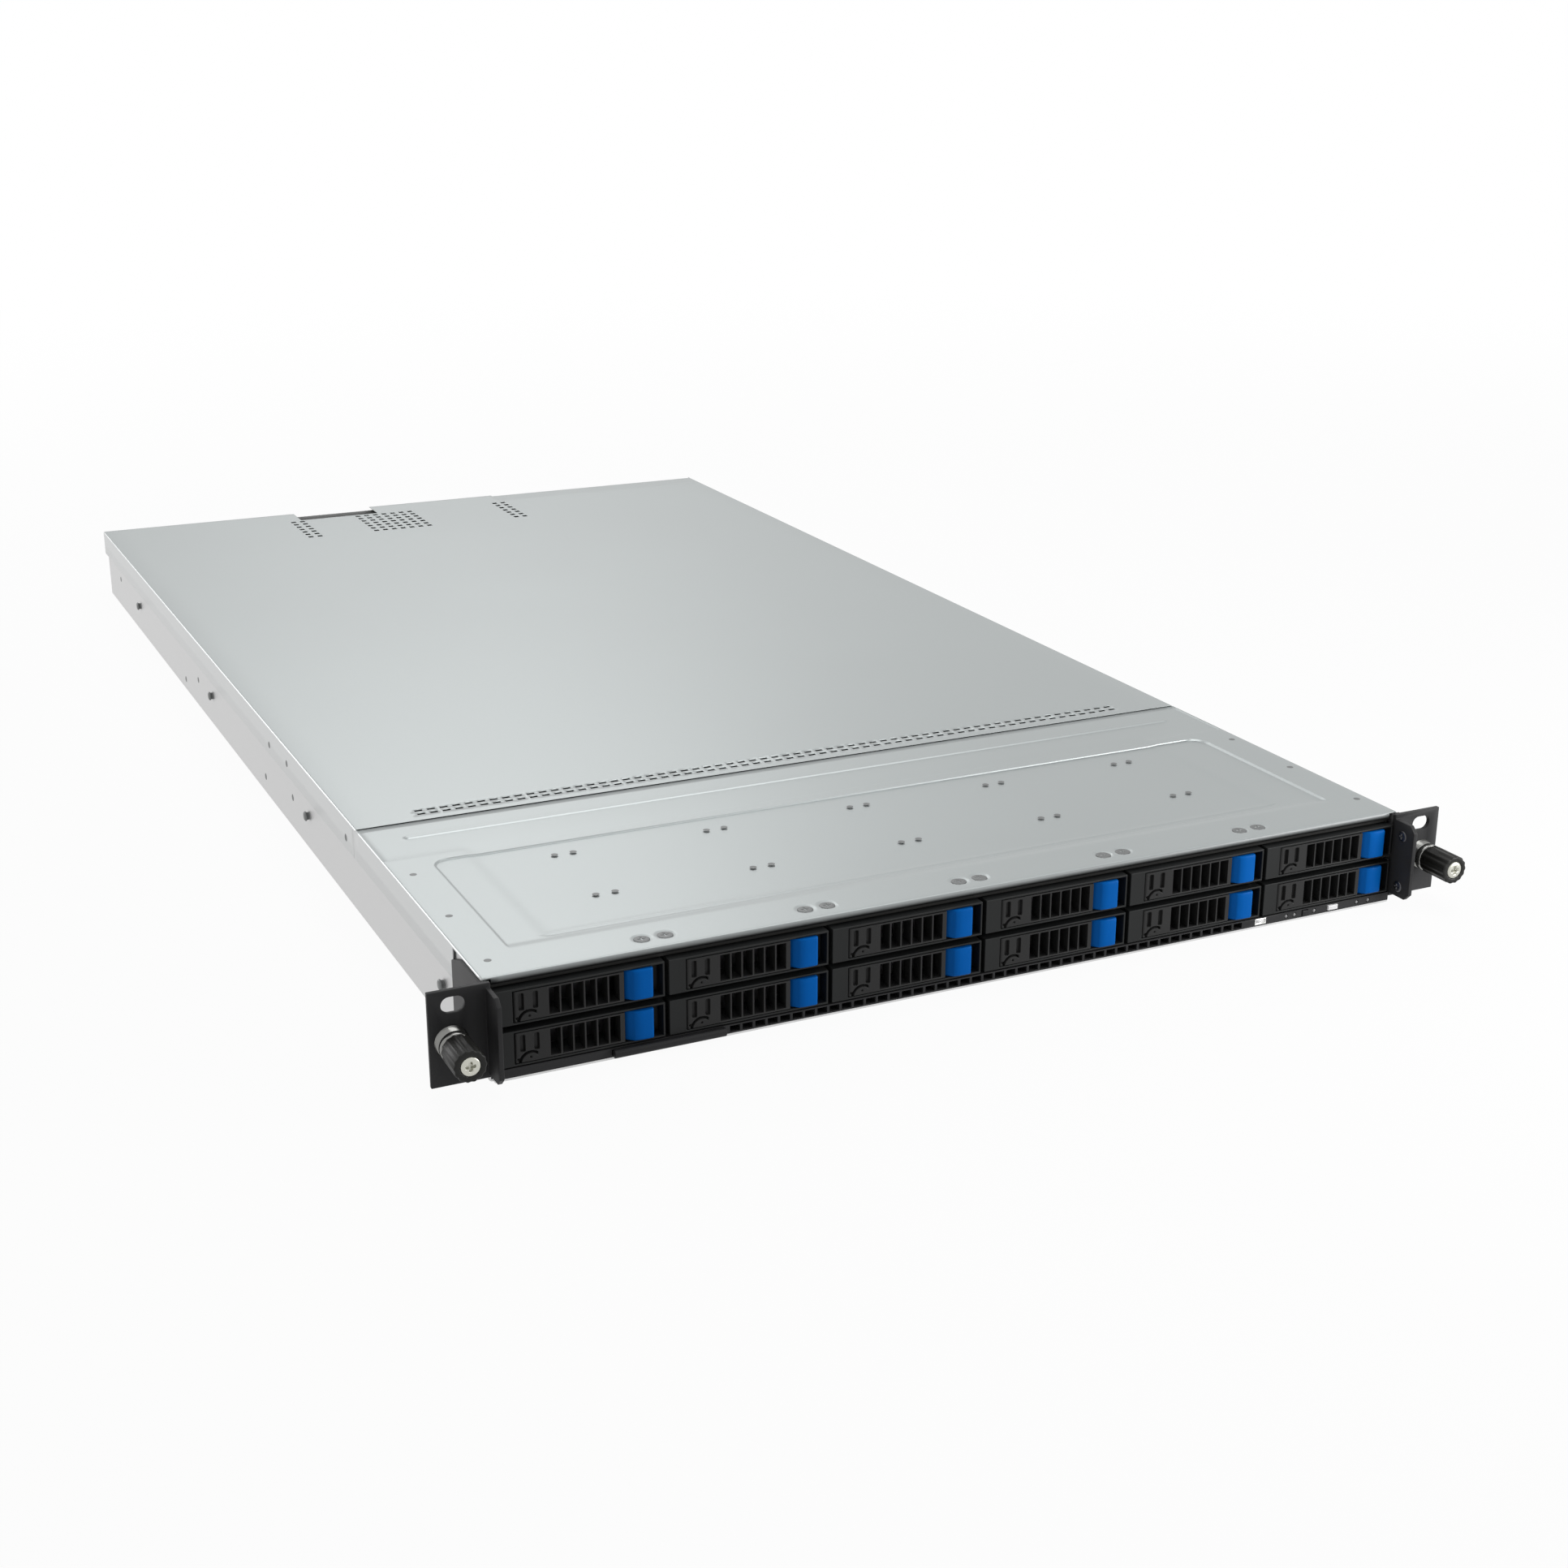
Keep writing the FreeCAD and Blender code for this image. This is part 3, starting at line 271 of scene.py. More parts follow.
def cover_section(xs):
    """Section across a cover: up the left skirt, round the bend, over the top and down."""
    turn = np.radians(np.linspace(0, 90, 5))
    left = np.array([[-half_width, skirt_bottom], [-half_width, (skirt_bottom + cover_top) / 2]])
    bend = np.stack([bend_r - half_width - bend_r * np.cos(turn),
                     cover_top - bend_r + bend_r * np.sin(turn)], 1)
    inner = xs[np.abs(xs) < half_width - bend_r - 0.05]
    flat = np.stack([inner, np.full(len(inner), cover_top)], 1)
    section = np.concatenate([left, bend, flat, bend[::-1] * (-1, 1), left[::-1] * (-1, 1)])
    return section[:, 0], section[:, 1]


def blend(wires, factor, first, second, kind="MIX"):
    """Two colours mixed by a factor."""
    return wires.node("ShaderNodeMix", {"data_type": "RGBA", "blend_type": kind},
                      {"Factor": factor, 6: first, 7: second}, output=2)


def toned(wires, colour, tone):
    """A colour multiplied by a grey tone."""
    grey = wires.node("ShaderNodeCombineColor", inputs={0: tone, 1: tone, 2: tone})
    return blend(wires, 1.0, (*colour, 1), grey, "MULTIPLY")


def plated_steel(name, colour, roughness, lip=False, skirt=None):
    """Galvanised sheet: fine grain, faint cloudy tone and satin gloss.

    A skirt is the colour of the sides that are folded down, a paler grey than the top of the
    same sheet: painted light.  A lip darkens the front edge from its top to its foot and dulls its
    shine: painted shade, as less of the room is seen in it.  Heights are in metres.
    """
    fold_x = 0.2187                         # the sides are folded down past here
    lip_depth = 0.0045
    dark_from, dark_to = 0.0431, 0.0406     # the colour darkens between these heights
    dull_from, dull_to = 0.04322, 0.0428    # and the metallic shine goes between these
    material = bpy.data.materials.new(name)
    wires = bare_tree(material)
    place = wires.node("ShaderNodeTexCoord", output="Object")
    cloud = wires.node("ShaderNodeTexNoise", inputs={"Vector": place, "Scale": 9.0, "Detail": 3.0})
    grain = wires.node("ShaderNodeTexNoise",
                       inputs={"Vector": place, "Scale": 1400.0, "Detail": 2.0})
    shade = toned(wires, colour, cloud * 0.05 + grain * 0.05 + 0.95)
    # Painted light: the folded sides take their own grey, paler than the top's.
    if skirt:
        across = wires.node("ShaderNodeSeparateXYZ", inputs={0: place}, output=0)
        folded = wires.maths("ABSOLUTE", across, 0.0) > fold_x
        shade = blend(wires, folded, shade, (*skirt, 1))
    metal = 0.9
    if lip:
        # Painted shade on the front lip: its colour fades to black downwards and its metallic shine
        # is dulled.
        height = wires.node("ShaderNodeSeparateXYZ", inputs={0: place}, output=2)
        depth = wires.node("ShaderNodeSeparateXYZ", inputs={0: place}, output=1)
        painted_shade = wires.node("ShaderNodeMapRange",
                         inputs={"Value": height, "From Min": dark_from, "From Max": dark_to})
        edge = wires.node("ShaderNodeMapRange",
                          inputs={"Value": height, "From Min": dull_from, "From Max": dull_to})
        front = depth < lip_depth
        metal = 0.9 - edge * front * 0.85
        shade = blend(wires, painted_shade * front, shade, (0.01, 0.01, 0.01, 1))
    bump = wires.node("ShaderNodeBump",
                      inputs={"Strength": 0.08, "Distance": 0.0002, "Height": grain})
    skin = wires.node("ShaderNodeBsdfPrincipled",
                      inputs={"Base Color": shade, "Metallic": metal,
                              "Roughness": cloud * 0.06 + roughness, "Normal": bump})
    wires.node("ShaderNodeOutputMaterial", inputs={"Surface": skin})
    return material


# Painted light: one sheet gets two greys, a darker one on top, where the lamps' gloss adds light,
# and a paler one on its folded sides.
sheet_grey = (0.365, 0.39, 0.39)
skirt_painted_light_grey = (0.60, 0.61, 0.61)
lid_steel = plated_steel("lid_steel", sheet_grey, 0.34, lip=True, skirt=skirt_painted_light_grey)
lid_sheet = 0.75
flange_end = 36.3         # the ears' flanges stand in for the skirts up to here
lid_front = 1.0
lip_bend = 1.3            # radius where the top folds down into the front lip
lip_fall = 3.0            # height of the lip
lid_rear = 179.0          # seam with the sliding cover
skirt_rear = 182.7        # the skirts reach a little past the seam
fin_inner = 216.3         # inner sides of the ears' fins, which the lip stays clear of
bay_pitch = 72.0
divider_x = bay_pitch * np.arange(-2, 3)
screw_line = 11.5         # two countersunk screws over each divider
screw_offset = 5.0
seat_r = 4.2
seat_drop = 0.45
panel = (-200.0, 200.0, -30.0, 129.0, 9.0)    # x from and to, y from and to, corner radius
panel_front = 24.0        # in front of here the panel is level with the lip
panel_drop = 0.8
panel_slope, panel_rear_slope, panel_front_slope = 1.3, 0.45, 7.0
inner_panel = (-185.0, 176.0, 31.0, 140.0, 6.0)
inner_drop = 0.35
inner_front_slope, inner_slope = 0.9, 7.0
strip_from = 136.0        # behind a narrow groove the sheet lies lower
strip_drop = 0.4
strip_slope = 1.2
groove_half = 0.32
groove_drop = 1.0
bead_line = 160.5         # stiffening bead across the strip
bead_reach = 200.0
bead_half = 2.3
bead_rise = 0.6

# Grid lines crowd at the screws' seats, the panel's edges, the groove and the bead.
seats = [(x - 2 * screw_offset, x + 2 * screw_offset, 0.8) for x in divider_x]
lid_xs = lines((-half_width, -203, 4), (-203, -188, 0.5), (-188, -172, 1.5), (-172, 168, 12),
               (168, 188, 1.5), (188, 203, 0.5), (203, half_width, 4), *seats)
lid_ys = lines((lid_front + lip_bend, 6.7, 2), (6.7, 16.3, 0.8), (16.3, 24, 3), (24, 40, 0.7),
               (40, 118, 10), (118, 128, 0.5), (128, 129.2, 0.15), (131, 135.4, 2),
               (135.4, 136.6, 0.1), (136.6, 157, 5), (157, 164, 0.25), (164, lid_rear, 5),
               (lid_rear, skirt_rear, 4))
section_x, section_z = cover_section(lid_xs)
arc = np.radians(np.linspace(0, 90, 6))
run_y = np.concatenate([[lid_front], lid_front + lip_bend - lip_bend * np.cos(arc), lid_ys[1:]])
run_drop = np.concatenate([[lip_fall], lip_bend - lip_bend * np.sin(arc),
                           np.zeros(len(lid_ys) - 1)])
x = np.broadcast_to(section_x, (len(run_y), len(section_x)))
y = np.broadcast_to(run_y[:, None], x.shape)

# The relief is a sum of smooth steps of the distance inside each pressed shape.
steeper = smooth_step((y - 118) / 8)
slope = panel_slope - (panel_slope - panel_rear_slope) * steeper
inner_slopes = np.where(y < inner_panel[2] + 3, inner_front_slope, inner_slope)
relief = -panel_drop * smooth_step(-rounded_distance(x, y, *panel) / slope)
relief *= smooth_step((y - panel_front) / panel_front_slope)
relief -= inner_drop * smooth_step(-rounded_distance(x, y, *inner_panel) / inner_slopes)
relief -= strip_drop * smooth_step((y - strip_from) / strip_slope + 0.5)
relief -= groove_drop * np.clip((groove_half - np.abs(y - strip_from)) / 0.1, 0, 1)
along = np.hypot(np.maximum(np.abs(x) - bead_reach, 0), y - bead_line)
relief += bead_rise * np.clip(bead_half - along, 0, 1)
from_divider = np.abs((x + bay_pitch / 2) % bay_pitch - bay_pitch / 2)
seat = np.hypot(from_divider - screw_offset, y - screw_line)
relief -= seat_drop * smooth_step((seat_r - seat) / 0.8) * (np.abs(x) < divider_x[-1] + 16)
z = section_z + np.where(np.abs(x) < flat_half, relief - run_drop[:, None], 0)
keep = np.ones((len(run_y) - 1, len(section_x) - 1), bool)
middle_y = (run_y[1:] + run_y[:-1]) / 2
skirt = (section_z[1:] + section_z[:-1]) / 2 < cover_top - bend_r
beside_fins = np.abs(section_x[1:] + section_x[:-1]) / 2 > fin_inner
keep[np.ix_(middle_y < flange_end, skirt)] = False
keep[np.ix_(middle_y > lid_rear, ~skirt)] = False
keep[np.ix_(middle_y < lid_front + 0.2, beside_fins)] = False
lid = place_piece("front_lid", grid_mesh("front_lid", np.stack([x, y, z], -1), keep), "case",
                  lid_steel, ["front_cover"])
thicken(lid, lid_sheet)


# ---------------------------------------------------------------- rear cover
# Sliding lid over the fans and the mainboard, of the same plated sheet: two rows of punched
# vents behind the seam, punched patches near the back and a notch for its latch.
def both_edges(centres, half):
    """Grid lines at both sides of every hole."""
    centres = np.asarray(centres, float)
    return np.concatenate([centres - half, centres + half])


def near_any(values, centres, half):
    """True where a value is within half of one of the centres."""
    return np.abs(values[..., None] - centres).min(-1) < half


cover_steel = plated_steel("cover_steel", sheet_grey, 0.34, skirt=skirt_painted_light_grey)
cover_sheet = 0.3
vent_x = 6.0 * np.arange(-31, 32)
vent_y = np.array([186.8, 191.5])
vent_half = (1.9, 1.0)
patch_x = np.concatenate([start + 6.3 * np.arange(count)
                          for start, count in ((-93.5, 2), (-47.5, 7), (54.0, 2))])
patch_y = 749.0 + 8.0 * np.arange(7)
patch_half = (1.7, 2.1)
patch_rim = 0.6           # ring of short cells round each patch, so that it shades flat
cover_front = 179.3
cover_rear = 823.5
skirt_front = 183.0
notch = (-87.0, -32.0, 801.5)    # x from and to, and y from which the sheet is cut away
rear_step = (60.0, 218.2, 820.5)
edge_roll = 0.12          # the cut edge at the seam is barely rounded
roll_end = cover_front + 0.16
xs = np.unique(np.round(np.concatenate([
    lines((-half_width, half_width, 14)), both_edges(vent_x, vent_half[0]),
    both_edges(patch_x, patch_half[0]), both_edges(patch_x, patch_half[0] + patch_rim),
    notch[:2], rear_step[:2]]), 2))
ys = np.unique(np.round(np.concatenate([
    lines((cover_front, roll_end, 0.04), (roll_end, skirt_front, 2.5), (195, cover_rear, 30)),
    both_edges(vent_y, vent_half[1]), both_edges(patch_y, patch_half[1]),
    both_edges(patch_y, patch_half[1] + patch_rim), notch[2:], rear_step[2:]]), 2))
section_x, section_z = cover_section(xs)
x = np.broadcast_to(section_x, (len(ys), len(section_x)))
y = np.broadcast_to(ys[:, None], x.shape)
rolled = 1 - np.clip((y - cover_front) / edge_roll, 0, 1)
fall = edge_roll * (1 - np.sqrt(1 - np.minimum(rolled, 0.999) ** 2))
z = section_z - np.where(np.abs(x) < flat_half, fall, 0)
cell_x = (x[:-1, :-1] + x[1:, 1:]) / 2
cell_y = (y[:-1, :-1] + y[1:, 1:]) / 2
skirt = np.broadcast_to((section_z[1:] + section_z[:-1]) / 2 < cover_top - bend_r, cell_x.shape)
gone = near_any(cell_x, vent_x, vent_half[0]) & near_any(cell_y, vent_y, vent_half[1])
gone |= near_any(cell_x, patch_x, patch_half[0]) & near_any(cell_y, patch_y, patch_half[1])
for start, end, front in (notch, rear_step):
    gone |= (cell_x > start) & (cell_x < end) & (cell_y > front)
keep = ~(gone & ~skirt) & ~(skirt & (cell_y < skirt_front))
sliding = place_piece("sliding_lid", grid_mesh("sliding_lid", np.stack([x, y, z], -1), keep),
                      "rear_cover", cover_steel, ["rear_cover"])
thicken(sliding, cover_sheet)


# ---------------------------------------------------------------- chassis
# Folded tub of the same plated sheet with its rear wall, and the drive cage inside it.  The
# CAD solids show their folds, so they keep their place and get the steel's finish.
def dress(material, *names):
    """Gives every material slot of the named CAD nodes one material."""
    for name in names:
        mesh = frame["nodes"][name].data
        mesh.materials.clear()
        mesh.materials.append(material)


# Painted light: the tub takes the paler grey of the covers' folded sides, not the darker grey of
# their top.
side_steel = plated_steel("side_steel", (0.62, 0.62, 0.62), 0.40)
dress(side_steel, "chassis", "drive_cage")


# ---------------------------------------------------------------- small fasteners
# Plated studs and rivets along the sides, countersunk screws that hold the front cover to
# the dividers, and the pan screws of the ears.
def square_to(axis):
    """Two directions square to an axis and to each other, and the axis itself."""
    w = np.asarray(axis, float)
    u = np.cross(w, (0, 0, 1) if abs(w[2]) < 0.9 else (0, 1, 0))
    return u, np.cross(w, u), w


def ring_mesh(name, centres, rings):
    """Mesh of rings of points, (ring, point, xyz), repeated at every centre.

    Faces join each ring to the next.  Doubles are merged, and the normals face out.
    """
    centres = np.asarray(centres, float).reshape(-1, 3)
    points = centres[:, None, None] + rings
    number = np.arange(points[..., 0].size).reshape(points.shape[:3])
    after = np.roll(number, -1, axis=2)
    faces = np.stack([number[:, :-1], after[:, :-1], after[:, 1:], number[:, 1:]], -1)
    mesh = smooth_mesh(name, points.reshape(-1, 3), faces.reshape(-1, 4))
    work = bmesh.new()
    work.from_mesh(mesh)
    bmesh.ops.remove_doubles(work, verts=work.verts, dist=1e-7)
    bmesh.ops.recalc_face_normals(work, faces=work.faces)
    work.to_mesh(mesh)
    work.free()
    return mesh


def turned(name, profile, centres, axis, count=20, ribs=0, rib_depth=0.0):
    """Surface turned about an axis and repeated: a profile of (radius, height) points.

    Radius times (1 - rib depth x half of (1 - cos(ribs x angle))) gives the ribs.  The
    height runs along the axis from each centre, in millimetres.
    """
    profile = np.asarray(profile, float)
    u, v, w = square_to(axis)
    angle = np.linspace(0, 2 * np.pi, count, endpoint=False)
    wave = 1 - rib_depth * (1 - np.cos(ribs * angle)) / 2
    radius = profile[:, :1] * wave
    spokes = np.cos(angle)[:, None] * u + np.sin(angle)[:, None] * v
    return ring_mesh(name, centres, radius[..., None] * spokes + profile[:, 1, None, None] * w)


def cross_head(name, centres, axis, r, rise, reach, arm, depth):
    """Screw heads with a cross recess: a polar grid whose height falls inside the cross.

    Height = rise x a quarter circle towards the rim, less depth x a smooth step of the
    distance inside the cross, whose arms are reach long and arm wide.
    """
    u, v, w = square_to(axis)
    radius = np.concatenate([np.linspace(0, reach / 2 + 0.2, 9),
                             np.linspace(reach / 2 + 0.4, r, 6)])[:, None]
    angle = np.linspace(0, 2 * np.pi, 48, endpoint=False)
    a, b = radius * np.cos(angle), radius * np.sin(angle)
    arms = [np.maximum(np.abs(p) - reach / 2, np.abs(q) - arm / 2) for p, q in ((a, b), (b, a))]
    height = rise * np.sqrt(1 - (radius / r * 0.98) ** 4)
    height = (height - depth * smooth_step(-np.minimum(*arms) / 0.25))[..., None]
    disc = a[..., None] * u + b[..., None] * v + height * w
    rim = disc[-1:] - (height[-1:] + 0.05) * w
    return ring_mesh(name, centres, np.concatenate([disc, rim]))


def joined(name, meshes):
    """One mesh from several, in their order."""
    work = bmesh.new()
    for mesh in meshes:
        work.from_mesh(mesh)
    whole = bpy.data.meshes.new(name)
    work.to_mesh(whole)
    work.free()
    return whole


bright_steel = plated_steel("bright_steel", (0.78, 0.78, 0.76), 0.20)
dull_steel = plated_steel("dull_steel", (0.17, 0.175, 0.175), 0.42)
dark_steel = plated_steel("dark_steel", (0.09, 0.09, 0.095), 0.35)
chassis_half = 217.9
stud_z = 18.8
stud_y = (55.0, 272.0, 489.0, 706.0)
stud = [(0, 2.2), (1.9, 2.2), (2.4, 1.8), (2.4, 1.3), (1.9, 1.1), (1.9, 0.0)]
studs = [turned("studs", stud, [(side * chassis_half, y, stud_z) for y in stud_y], (side, 0, 0))
         for side in (-1, 1)]
place_piece("rail_studs", joined("rail_studs", studs), "case", dull_steel,
            ["fasteners"])
seat_z = cover_top - 0.35
pairs = [(x + s, screw_line, seat_z) for x in divider_x for s in (-screw_offset, screw_offset)]
heads = cross_head("cover_screws", pairs, (0, 0, 1), r=3.3, rise=0.3, reach=3.6, arm=0.9, depth=0.7)
place_piece("cover_screws", heads, "case", dull_steel, ["fasteners"])
fin_screw_y, fin_screw_z = -7.5, (9.5, 34.0)
heads = [cross_head("fin_heads", [(side * fin_inner, fin_screw_y, z) for z in fin_screw_z],
                    (-side, 0, 0), r=2.6, rise=0.6, reach=2.8, arm=0.7, depth=0.5)
         for side in (-1, 1)]
place_piece("fin_screws", joined("fin_screws", heads), "case", dark_steel,
            ["fasteners"])
panel_z = cover_top - 0.6
dots = [(x + s, y, panel_z) for x in divider_x for s in (-4.3, 4.3) for y in (64.0, 114.0)]
dots += [(-211.0, y, cover_top) for y in (17.0, 66.0, 116.0)]
dots += [(213.0, y, cover_top) for y in (22.0, 72.0, 119.0)]
dimple = [(0, 0.01), (0.9, 0.02), (1.2, 0.05), (1.5, 0.04), (1.6, 0.0)]
place_piece("top_rivets", turned("top_rivets", dimple, dots, (0, 0, 1), 14), "case",
            dull_steel)
on_skirt = [(344.0, 33.4), (307.0, 34.8), (196.4, 33.6)]
on_wall = [(303.5, 17.9), (362.7, 10.3), (527.5, 17.6), (566.4, 7.5), (774.8, 20.7), (97.6, 29.5)]
flush = [(0, 0.05), (1.0, 0.05), (1.3, 0.12), (1.6, 0.1), (1.8, 0.0)]
for body, wall_x, places in (("rear_cover", half_width, on_skirt), ("case", chassis_half, on_wall)):
    rivets = [turned("rivets", flush, [(side * wall_x, y, z) for y, z in places], (side, 0, 0), 14)
              for side in (-1, 1)]
    place_piece("rivets_" + body, joined("rivets_" + body, rivets), body,
                dull_steel)


# ---------------------------------------------------------------- ears
# Rack brackets of 2 mm sheet with a guard fin at the front, powder-coated black and fixed
# to the chassis sides.
def coated(name, colour, roughness, grain_size=900.0, grain_depth=0.15, highlight_share=0.35, shine=0.2):
    """Powder coat or moulded plastic: fine grain and cloudy gloss, with a painted highlight that
    makes sharp edges paler.
    """
    material = bpy.data.materials.new(name)
    wires = bare_tree(material)
    place = wires.node("ShaderNodeTexCoord", output="Object")
    cloud = wires.node("ShaderNodeTexNoise",
                       inputs={"Vector": place, "Scale": 35.0, "Detail": 3.0})
    grain = wires.node("ShaderNodeTexNoise",
                       inputs={"Vector": place, "Scale": grain_size, "Detail": 2.0})
    # Painted highlight: edges that pointiness finds sharp are mixed towards a paler colour.
    edge_highlight_mask = wires.node("ShaderNodeMapRange",
                        inputs={"Value": wires.node("ShaderNodeNewGeometry", output="Pointiness"),
                                "From Min": 0.52, "From Max": 0.62})
    edge = tuple(min(1.0, value * (1 + 2 * highlight_share) + 0.03 * highlight_share) for value in colour)
    paint = blend(wires, edge_highlight_mask * highlight_share, toned(wires, colour, cloud * 0.25 + 0.875), (*edge, 1))
    bump = wires.node("ShaderNodeBump",
                      inputs={"Strength": grain_depth, "Distance": 0.0001, "Height": grain})
    skin = wires.node("ShaderNodeBsdfPrincipled",
                      inputs={"Base Color": paint, "Roughness": cloud * 0.12 + roughness,
                              "Specular IOR Level": shine, "Normal": bump})
    wires.node("ShaderNodeOutputMaterial", inputs={"Surface": skin})
    return material


def ease(piece, width, angle=35.0):
    """Rounds every edge sharper than the angle, in millimetres, and keeps flats flat."""
    bevel = piece.modifiers.new("ease", "BEVEL")
    bevel.width = width / 1000
    bevel.segments = 2
    bevel.limit_method = "ANGLE"
    bevel.angle_limit = math.radians(angle)
    bevel.harden_normals = True


def eased_copy(name, node, width, material):
    """A CAD solid with rounded edges: its doubles merged, flat facets joined, corners eased."""
    mesh = frame["nodes"][node].data.copy()
    work = bmesh.new()
    work.from_mesh(mesh)
    bmesh.ops.remove_doubles(work, verts=work.verts, dist=2e-6)
    bmesh.ops.dissolve_limit(work, angle_limit=math.radians(1.0), verts=work.verts,
                             edges=work.edges)
    work.to_mesh(mesh)
    work.free()
    mesh.polygons.foreach_set("use_smooth", np.ones(len(mesh.polygons), bool))
    piece = place_piece(name, mesh, frame["nodes"][node]["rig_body"], material, [node])
    ease(piece, width, 30.0)


ear_black = coated("ear_black", (0.022, 0.022, 0.023), 0.45)
for side in ("left", "right"):
    eased_copy("ear_" + side, side + "_ear", 0.3, ear_black)


# ---------------------------------------------------------------- thumbscrews
# Captive M5 screws: a ribbed black cap moulded round a plated screw, whose cross recess
# shows at the front, turning in a bright steel ferrule pressed into the ear.
screw_x = 232.55
screw_z = 21.2
disc_y = -25.1
cap = [(4.0, -24.9), (4.15, -25.3), (4.5, -25.5), (6.0, -25.5), (6.45, -25.3), (6.6, -24.9),
       (6.6, -10.0), (6.4, -9.5), (6.1, -9.3), (2.0, -9.3)]
shank = [(2.0, -9.4), (2.0, 0.0), (2.5, 0.0), (2.5, 9.2), (1.9, 10.0), (0, 10.0)]
ferrule = [(2.8, -9.0), (5.9, -9.0), (6.4, -8.5), (6.4, -6.2), (5.9, -6.0), (5.9, -5.2),
           (6.4, -5.0), (6.4, -2.6), (6.9, -2.3), (6.9, -1.95), (2.8, -1.95)]
knob_black = coated("knob_black", (0.008, 0.008, 0.007), 0.36, grain_size=700.0, shine=0.25)
disc_steel = plated_steel("disc_steel", (0.56, 0.56, 0.50), 0.30)
# Painted reflection: the bright steel ferrule gets a dark grey, for the dark surroundings seen in
# it.
ferrule_steel = plated_steel("ferrule_steel", (0.24, 0.24, 0.23), 0.16)
for name, side in (("left", -1), ("right", 1)):
    body = name + "_thumbscrew"
    centre = (side * screw_x, 0, screw_z)
    knob = turned("knob", cap, centre, (0, 1, 0), 112, ribs=14, rib_depth=0.055)
    place_piece("knob_" + name, knob, body, knob_black, [body])
    place_piece("screw_" + name, turned("screw", shank, centre, (0, 1, 0), 28), body,
                bright_steel, [body])
    disc = cross_head("disc", (side * screw_x, disc_y, screw_z), (0, -1, 0), r=3.9, rise=0.75,
                      reach=4.0, arm=1.5, depth=2.0)
    place_piece("disc_" + name, disc, body, disc_steel, [body])
    place_piece("ferrule_" + name, turned("ferrule", ferrule, centre, (0, 1, 0), 40), "case",
                ferrule_steel, ["fasteners"])


# ---------------------------------------------------------------- drive carriers
# Black mouldings: an open bezel whose left block covers the lever's hinge, on a plain
# carrier.  A 2.5 inch drive, a closed aluminium box, is screwed on each.
def moulding(name, us, vs, near, far, keep=None, order="xzy"):
    """Closed solid over a grid of u and v, whose depth runs from near to far.

    Only the kept cells exist, all of them unless told, and each boundary of them gets a
    wall.  The order names the axes of u, v and depth, so that the near side faces outwards.
    """
    u, v = np.meshgrid(us, vs)
    points = np.concatenate([np.stack([u, v, np.broadcast_to(depth, u.shape)], -1).reshape(-1, 3)
                             for depth in (near, far)])
    points = points[:, [order.index(axis) for axis in "xyz"]]
    front = np.arange(u.size).reshape(u.shape)
    rear = front + u.size
    keep = np.ones((len(vs) - 1, len(us) - 1), bool) if keep is None else keep
    padded = np.pad(keep, 1)
    faces = [cells_of(front)[keep], cells_of(rear)[keep][:, ::-1]]
    before, after = padded[1:-1, :-1], padded[1:-1, 1:]
    wall = np.stack([front[:-1], front[1:], rear[1:], rear[:-1]], -1)
    faces += [wall[after & ~before], wall[before & ~after][:, ::-1]]
    before, after = padded[:-1, 1:-1], padded[1:, 1:-1]
    wall = np.stack([front[:, :-1], rear[:, :-1], rear[:, 1:], front[:, 1:]], -1)
    faces += [wall[after & ~before], wall[before & ~after][:, ::-1]]
    used, faces = np.unique(np.concatenate(faces), return_inverse=True)
    return smooth_mesh(name, points[used], faces.reshape(-1, 4))


def rooms(us, vs, *boxes):
    """True for each cell whose middle lies in one of the boxes (u0, u1, v0, v1)."""
    u, v = np.meshgrid((us[1:] + us[:-1]) / 2, (vs[1:] + vs[:-1]) / 2)
    found = np.zeros(u.shape, bool)
    for u0, u1, v0, v1 in boxes:
        found |= (u > u0) & (u < u1) & (v > v0) & (v < v1)
    return found


def block(name, x, y, z):
    """Plain closed box between two corners, from pairs of limits."""
    return moulding(name, np.array(x, float), np.array(z, float), *y)


tray_black = coated("tray_black", (0.013, 0.014, 0.014), 0.40)
drive_metal = plated_steel("drive_metal", (0.30, 0.30, 0.31), 0.42)
tray_centre = bay_pitch * (np.arange(12) % 6 - 2.5)
lowest_tray, row_pitch = 5.2, 17.5
tray_foot = lowest_tray + row_pitch * (np.arange(12) // 6)
tray_half = 35.1
carrier_sheet = 0.7
carrier_span = (8.0, 111.2)
bezel_foot = tray_foot + 0.2
bezel_height = 15.0
face_y = -2.0
bezel_rear = 10.0
border = 0.9
hinge_block = -27.8       # right side of the block over the hinge
latch_left = 18.6         # left side of the latch's pocket and of its back wall
latch_wall = (3.5, 4.5)
drive_half = 34.925
drive_span = (12.0, 112.2)
drive_gap = 0.05
drive_high = 14.75
seam_drop = 0.35
edge_drop = 0.8

# Grid lines crowd where the drive's lid has its seam and where its edges are rounded.
us = lines((-34.9, -33.9, 0.2), (-33.9, -31.5, 2.4), (-31.5, -30.5, 0.25), (-30.5, 30.5, 15),
           (30.5, 31.5, 0.25), (31.5, 33.9, 2.4), (33.9, 34.9, 0.2))
vs = lines((12.0, 13.0, 0.25), (13.0, 15.5, 2.5), (15.5, 16.5, 0.25), (16.5, 100, 20),
           (100, 101, 0.25), (101, 111.2, 10), (111.2, 112.2, 0.25))
u, v = np.meshgrid(us, vs)
seam = rounded_distance(u, v, -31, 31, 16, 100.5, 3.0)
shell = rounded_distance(u, v, -drive_half, drive_half, *drive_span, 1.2)
drive_top = drive_high - seam_drop * smooth_step(seam / 0.8 + 0.5)
drive_top -= edge_drop * smooth_step(shell / 0.9 + 1)
